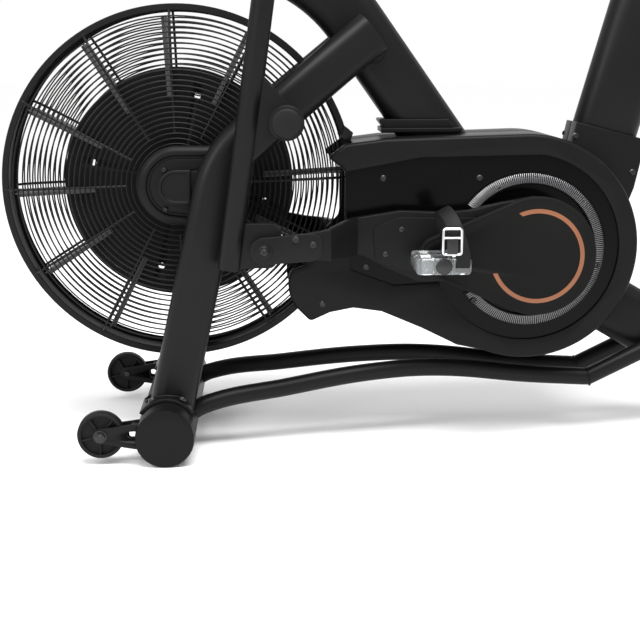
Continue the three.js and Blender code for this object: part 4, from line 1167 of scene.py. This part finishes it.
def saddle_line(inset):
    """The saddle from above, smoothed, drawn in by an amount."""
    half = [(rail_x + 12 + a * (270 - 2 * inset), c * (210 - 2 * inset)) for a, c in SADDLE]
    corners = [*[(x, -y) for x, y in half], *[(x, y) for x, y in reversed(half)]]
    smooth = []
    count = len(corners)
    for i in range(count):
        p0, p1, p2, p3 = (Vector(corners[(i + k) % count]) for k in (-1, 0, 1, 2))
        for k in range(6):
            t = k / 6
            bend = 2 * p0 - 5 * p1 + 4 * p2 - p3
            twist = 3 * p1 - p0 - 3 * p2 + p3
            smooth.append(tuple(0.5 * (2 * p1 + (p2 - p0) * t + bend * t**2 + twist * t**3)))
    return smooth


def saddle_cushion():
    """The padded top: blown up like a stuffed cover, with a relief channel pressed in afterwards."""
    low = CARRIAGE_TOP + 12
    pad = plate(saddle_line(8), low + 30, low, 0, axis="Z", steps=[(6, 4), (9, 3)])
    applied(pad, "REMESH", mode="VOXEL", voxel_size=5.5 * MM)
    before = [vertex.co.copy() for vertex in pad.data.vertices]
    cloth = pad.modifiers.new("stuffing", "CLOTH")
    cloth.settings.use_pressure = True
    cloth.settings.uniform_pressure_force = 4
    cloth.settings.effector_weights.gravity = 0
    cloth.point_cache.frame_end = 20
    for step in range(1, 21):
        bpy.context.scene.frame_set(step)
    bpy.ops.object.modifier_apply(modifier=cloth.name)
    bpy.context.scene.frame_set(1)
    for vertex, start in zip(pad.data.vertices, before):
        move = vertex.co - start
        if move.length > 8 * MM:
            move = move.normalized() * 8 * MM
        vertex.co = start + move
        vertex.co.z = max(vertex.co.z, low * MM)
        along = (vertex.co.x / MM - rail_x) / 130
        if vertex.co.z > (low + 20) * MM:
            channel = math.exp(-((vertex.co.y / (11 * MM)) ** 2)) * max(0, 1 - ((along + 0.1) / 0.75) ** 2)
            vertex.co.z -= 5 * MM * channel
            vertex.co.z += 5 * MM * max(0, along) ** 2
    applied(pad, "SUBSURF", levels=1, render_levels=1)
    bpy.ops.object.shade_smooth()
    return painted(pad, saddle_skin)


cushion = place(saddle_cushion(), "saddle_cushion", "carriage", "leather", "saddle")
pan = plate(saddle_line(3), CARRIAGE_TOP + 1, CARRIAGE_TOP + 14, 3, 4, [(10, 0), (3, -2)], axis="Z")
place(painted(pan, trim_plastic), "saddle_pan", "carriage", "plastic")
piping = bar([(x, y, CARRIAGE_TOP + 14.5) for x, y in saddle_line(2.5)], 2, closed=True)
place(painted(piping, rubber), "saddle_piping", "carriage", "rubber")

# ---------------------------------------------------------------- mast and console

mast_x = MAIN_NOSE + 62
mast_path = bent(
    [(mast_x, 0, MAIN_TOP + 50), (mast_x, 0, MAIN_TOP + 60), (MAST_TILT[0], 0, MAST_TILT[1] - 20)], 8, 8
)
mast = bar([(mast_x, 0, MAIN_TOP + 20), *mast_path[1:]], 19)
mast_flange = bar([(mast_x, 0, MAIN_TOP + 51), (mast_x, 0, MAIN_TOP + 57)], 27, 2)
ear = block(MAST_TILT[0] - 12, MAST_TILT[0] + 12, -14, 14, MAST_TILT[1] - 34, MAST_TILT[1] - 4, 3)
tongue = lathe([(0, -14), (13, -14), (14, -13), (14, 13), (13, 14), (0, 14)], MAST_TILT, 40)
place(
    painted(joined([mast, mast_flange, ear, tongue]), powder_coat), "display_mast", "frame", "frame",
    "console_mast"
)

tilt_console = turned_about(MAST_TILT, CONSOLE_TILT)
CONSOLE_LOW = MAST_TILT[1] + 22
CONSOLE_TOP = CONSOLE_LOW + 34
console_x = MAST_TILT[0]


def tilted(obj):
    obj.data.transform(tilt_console)
    return obj


shell_line = rounded(
    [
        (console_x - 75, -110, 26), (console_x + 75, -100, 22), (console_x + 75, 100, 22),
        (console_x - 75, 110, 26)
    ],
    24, 10
)
console_shell = plate(
    shell_line, CONSOLE_TOP - 5, CONSOLE_LOW + 5, 3, 5, [(2, 3), (4, 2), (5, 0), (1.5, -1.5)], axis="Z"
)
belly = plate(
    rounded([(console_x - 62, -86), (console_x + 58, -80), (console_x + 58, 80), (console_x - 62, 86)], 20),
    CONSOLE_LOW, CONSOLE_LOW + 10, 3, 4, axis="Z"
)
cheeks = [
    block(
        console_x - 12, console_x + 12, *sorted((side * 15.5, side * 24)), MAST_TILT[1] - 10,
        CONSOLE_LOW + 6, 2.5
    ) for side in (-1, 1)
]
pivot_bolt = lathe(
    [(0, -28), (7, -28), (8, -26.5), (8, -24), (4, -24), (4, 24), (8, 24), (8, 26.5), (7, 28), (0, 28)],
    MAST_TILT, 32
)
console = tilted(joined([console_shell, belly, *cheeks, pivot_bolt]))
place(painted(console, case_plastic), "display_housing", "console", "plastic", "console")
window = rounded(
    [(console_x - 60, -86), (console_x + 30, -82), (console_x + 30, 82), (console_x - 60, 86)], 8
)
glass = tilted(plate(window, CONSOLE_TOP - 0.6, CONSOLE_TOP - 3, 0.8, axis="Z"))
place(painted(glass, screen_glass), "display_window", "console", "gloss")
fields = []
for y0, y1 in ((-74, -28), (-23, 23), (28, 74)):
    fields.append(block(console_x - 48, console_x - 18, y0, y1, CONSOLE_TOP - 2, CONSOLE_TOP - 0.2, 0.6, 2))
    fields.append(block(console_x - 12, console_x + 18, y0, y1, CONSOLE_TOP - 2, CONSOLE_TOP - 0.2, 0.6, 2))
place(tilted(painted(joined(fields), display_grey)), "display_fields", "console", "gloss")

for name, y in zip(("start", "stop", "mode", "reset"), (-60, -20, 20, 60)):
    middle = (console_x + 51, y)
    line = arc(middle, 9, 0, 352.5, 47)
    button = tilted(
        plate(
            line, CONSOLE_TOP + 1.2, CONSOLE_TOP - 3, 0.8, 2,
            [(0.8, 0.9), (1.2, 0.6), (2.5, 0.2), (2, -0.5)], axis="Z"
        )
    )
    place(painted(button, button_rubber), f"{name}_button_cap", f"button_{name}", "rubber", f"button_{name}")

# ---------------------------------------------------------------- kept frame pieces

for name, material in {
    "frame_spine": powder_coat,
    "crank_axle": steel,
    "crank_pulley": trim_plastic,
    "layshaft": steel,
    "crank_belt": rubber,
    "fan_belt": rubber,
    "fan_axle": black_bolt,
}.items():
    painted(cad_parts[name], material)

# ---------------------------------------------------------------- floor, light and camera

cleared()
bpy.ops.mesh.primitive_plane_add(size=60)
floor = bpy.context.object
floor.name = "pale_floor"
floor_paint = finish(
    "pale_floor_paint", (0.985, 0.985, 0.985), (0.995, 0.995, 0.995), (0.8, 0.9), 30, 0.02, specular=0.2
)
painted(floor, floor_paint)

world = bpy.data.worlds.new("studio")
bpy.context.scene.world = world
world.use_nodes = True
world.node_tree.nodes["Background"].inputs["Color"].default_value = (1, 1, 1, 1)
world.node_tree.nodes["Background"].inputs["Strength"].default_value = 1.0


def softbox(name, place_at, look_at, size, power):
    lamp = bpy.data.lights.new(name, "AREA")
    lamp.shape = "RECTANGLE"
    lamp.size, lamp.size_y = size
    lamp.energy = power
    obj = linked(name, lamp)
    obj.location = place_at
    obj.rotation_euler = (Vector(look_at) - Vector(place_at)).to_track_quat("-Z", "Y").to_euler()


softbox("top_softbox", (0.1, -1.4, 3.2), (0, 0, 0.5), (2.6, 1.4), 150)
softbox("front_left_softbox", (-2.6, -2.2, 2.2), (-0.2, 0, 0.5), (1.2, 1.8), 55)

camera_data = bpy.data.cameras.new("camera")
camera_data.lens = 75.94
camera_data.sensor_width = 36
camera = linked("camera", camera_data)
camera.location = (-0.2295, -2.4525, 0.685)
camera.rotation_euler = (math.radians(90 - 11.155), 0, math.radians(-2.393))
bpy.context.scene.camera = camera
bpy.context.scene.view_settings.view_transform = "Standard"
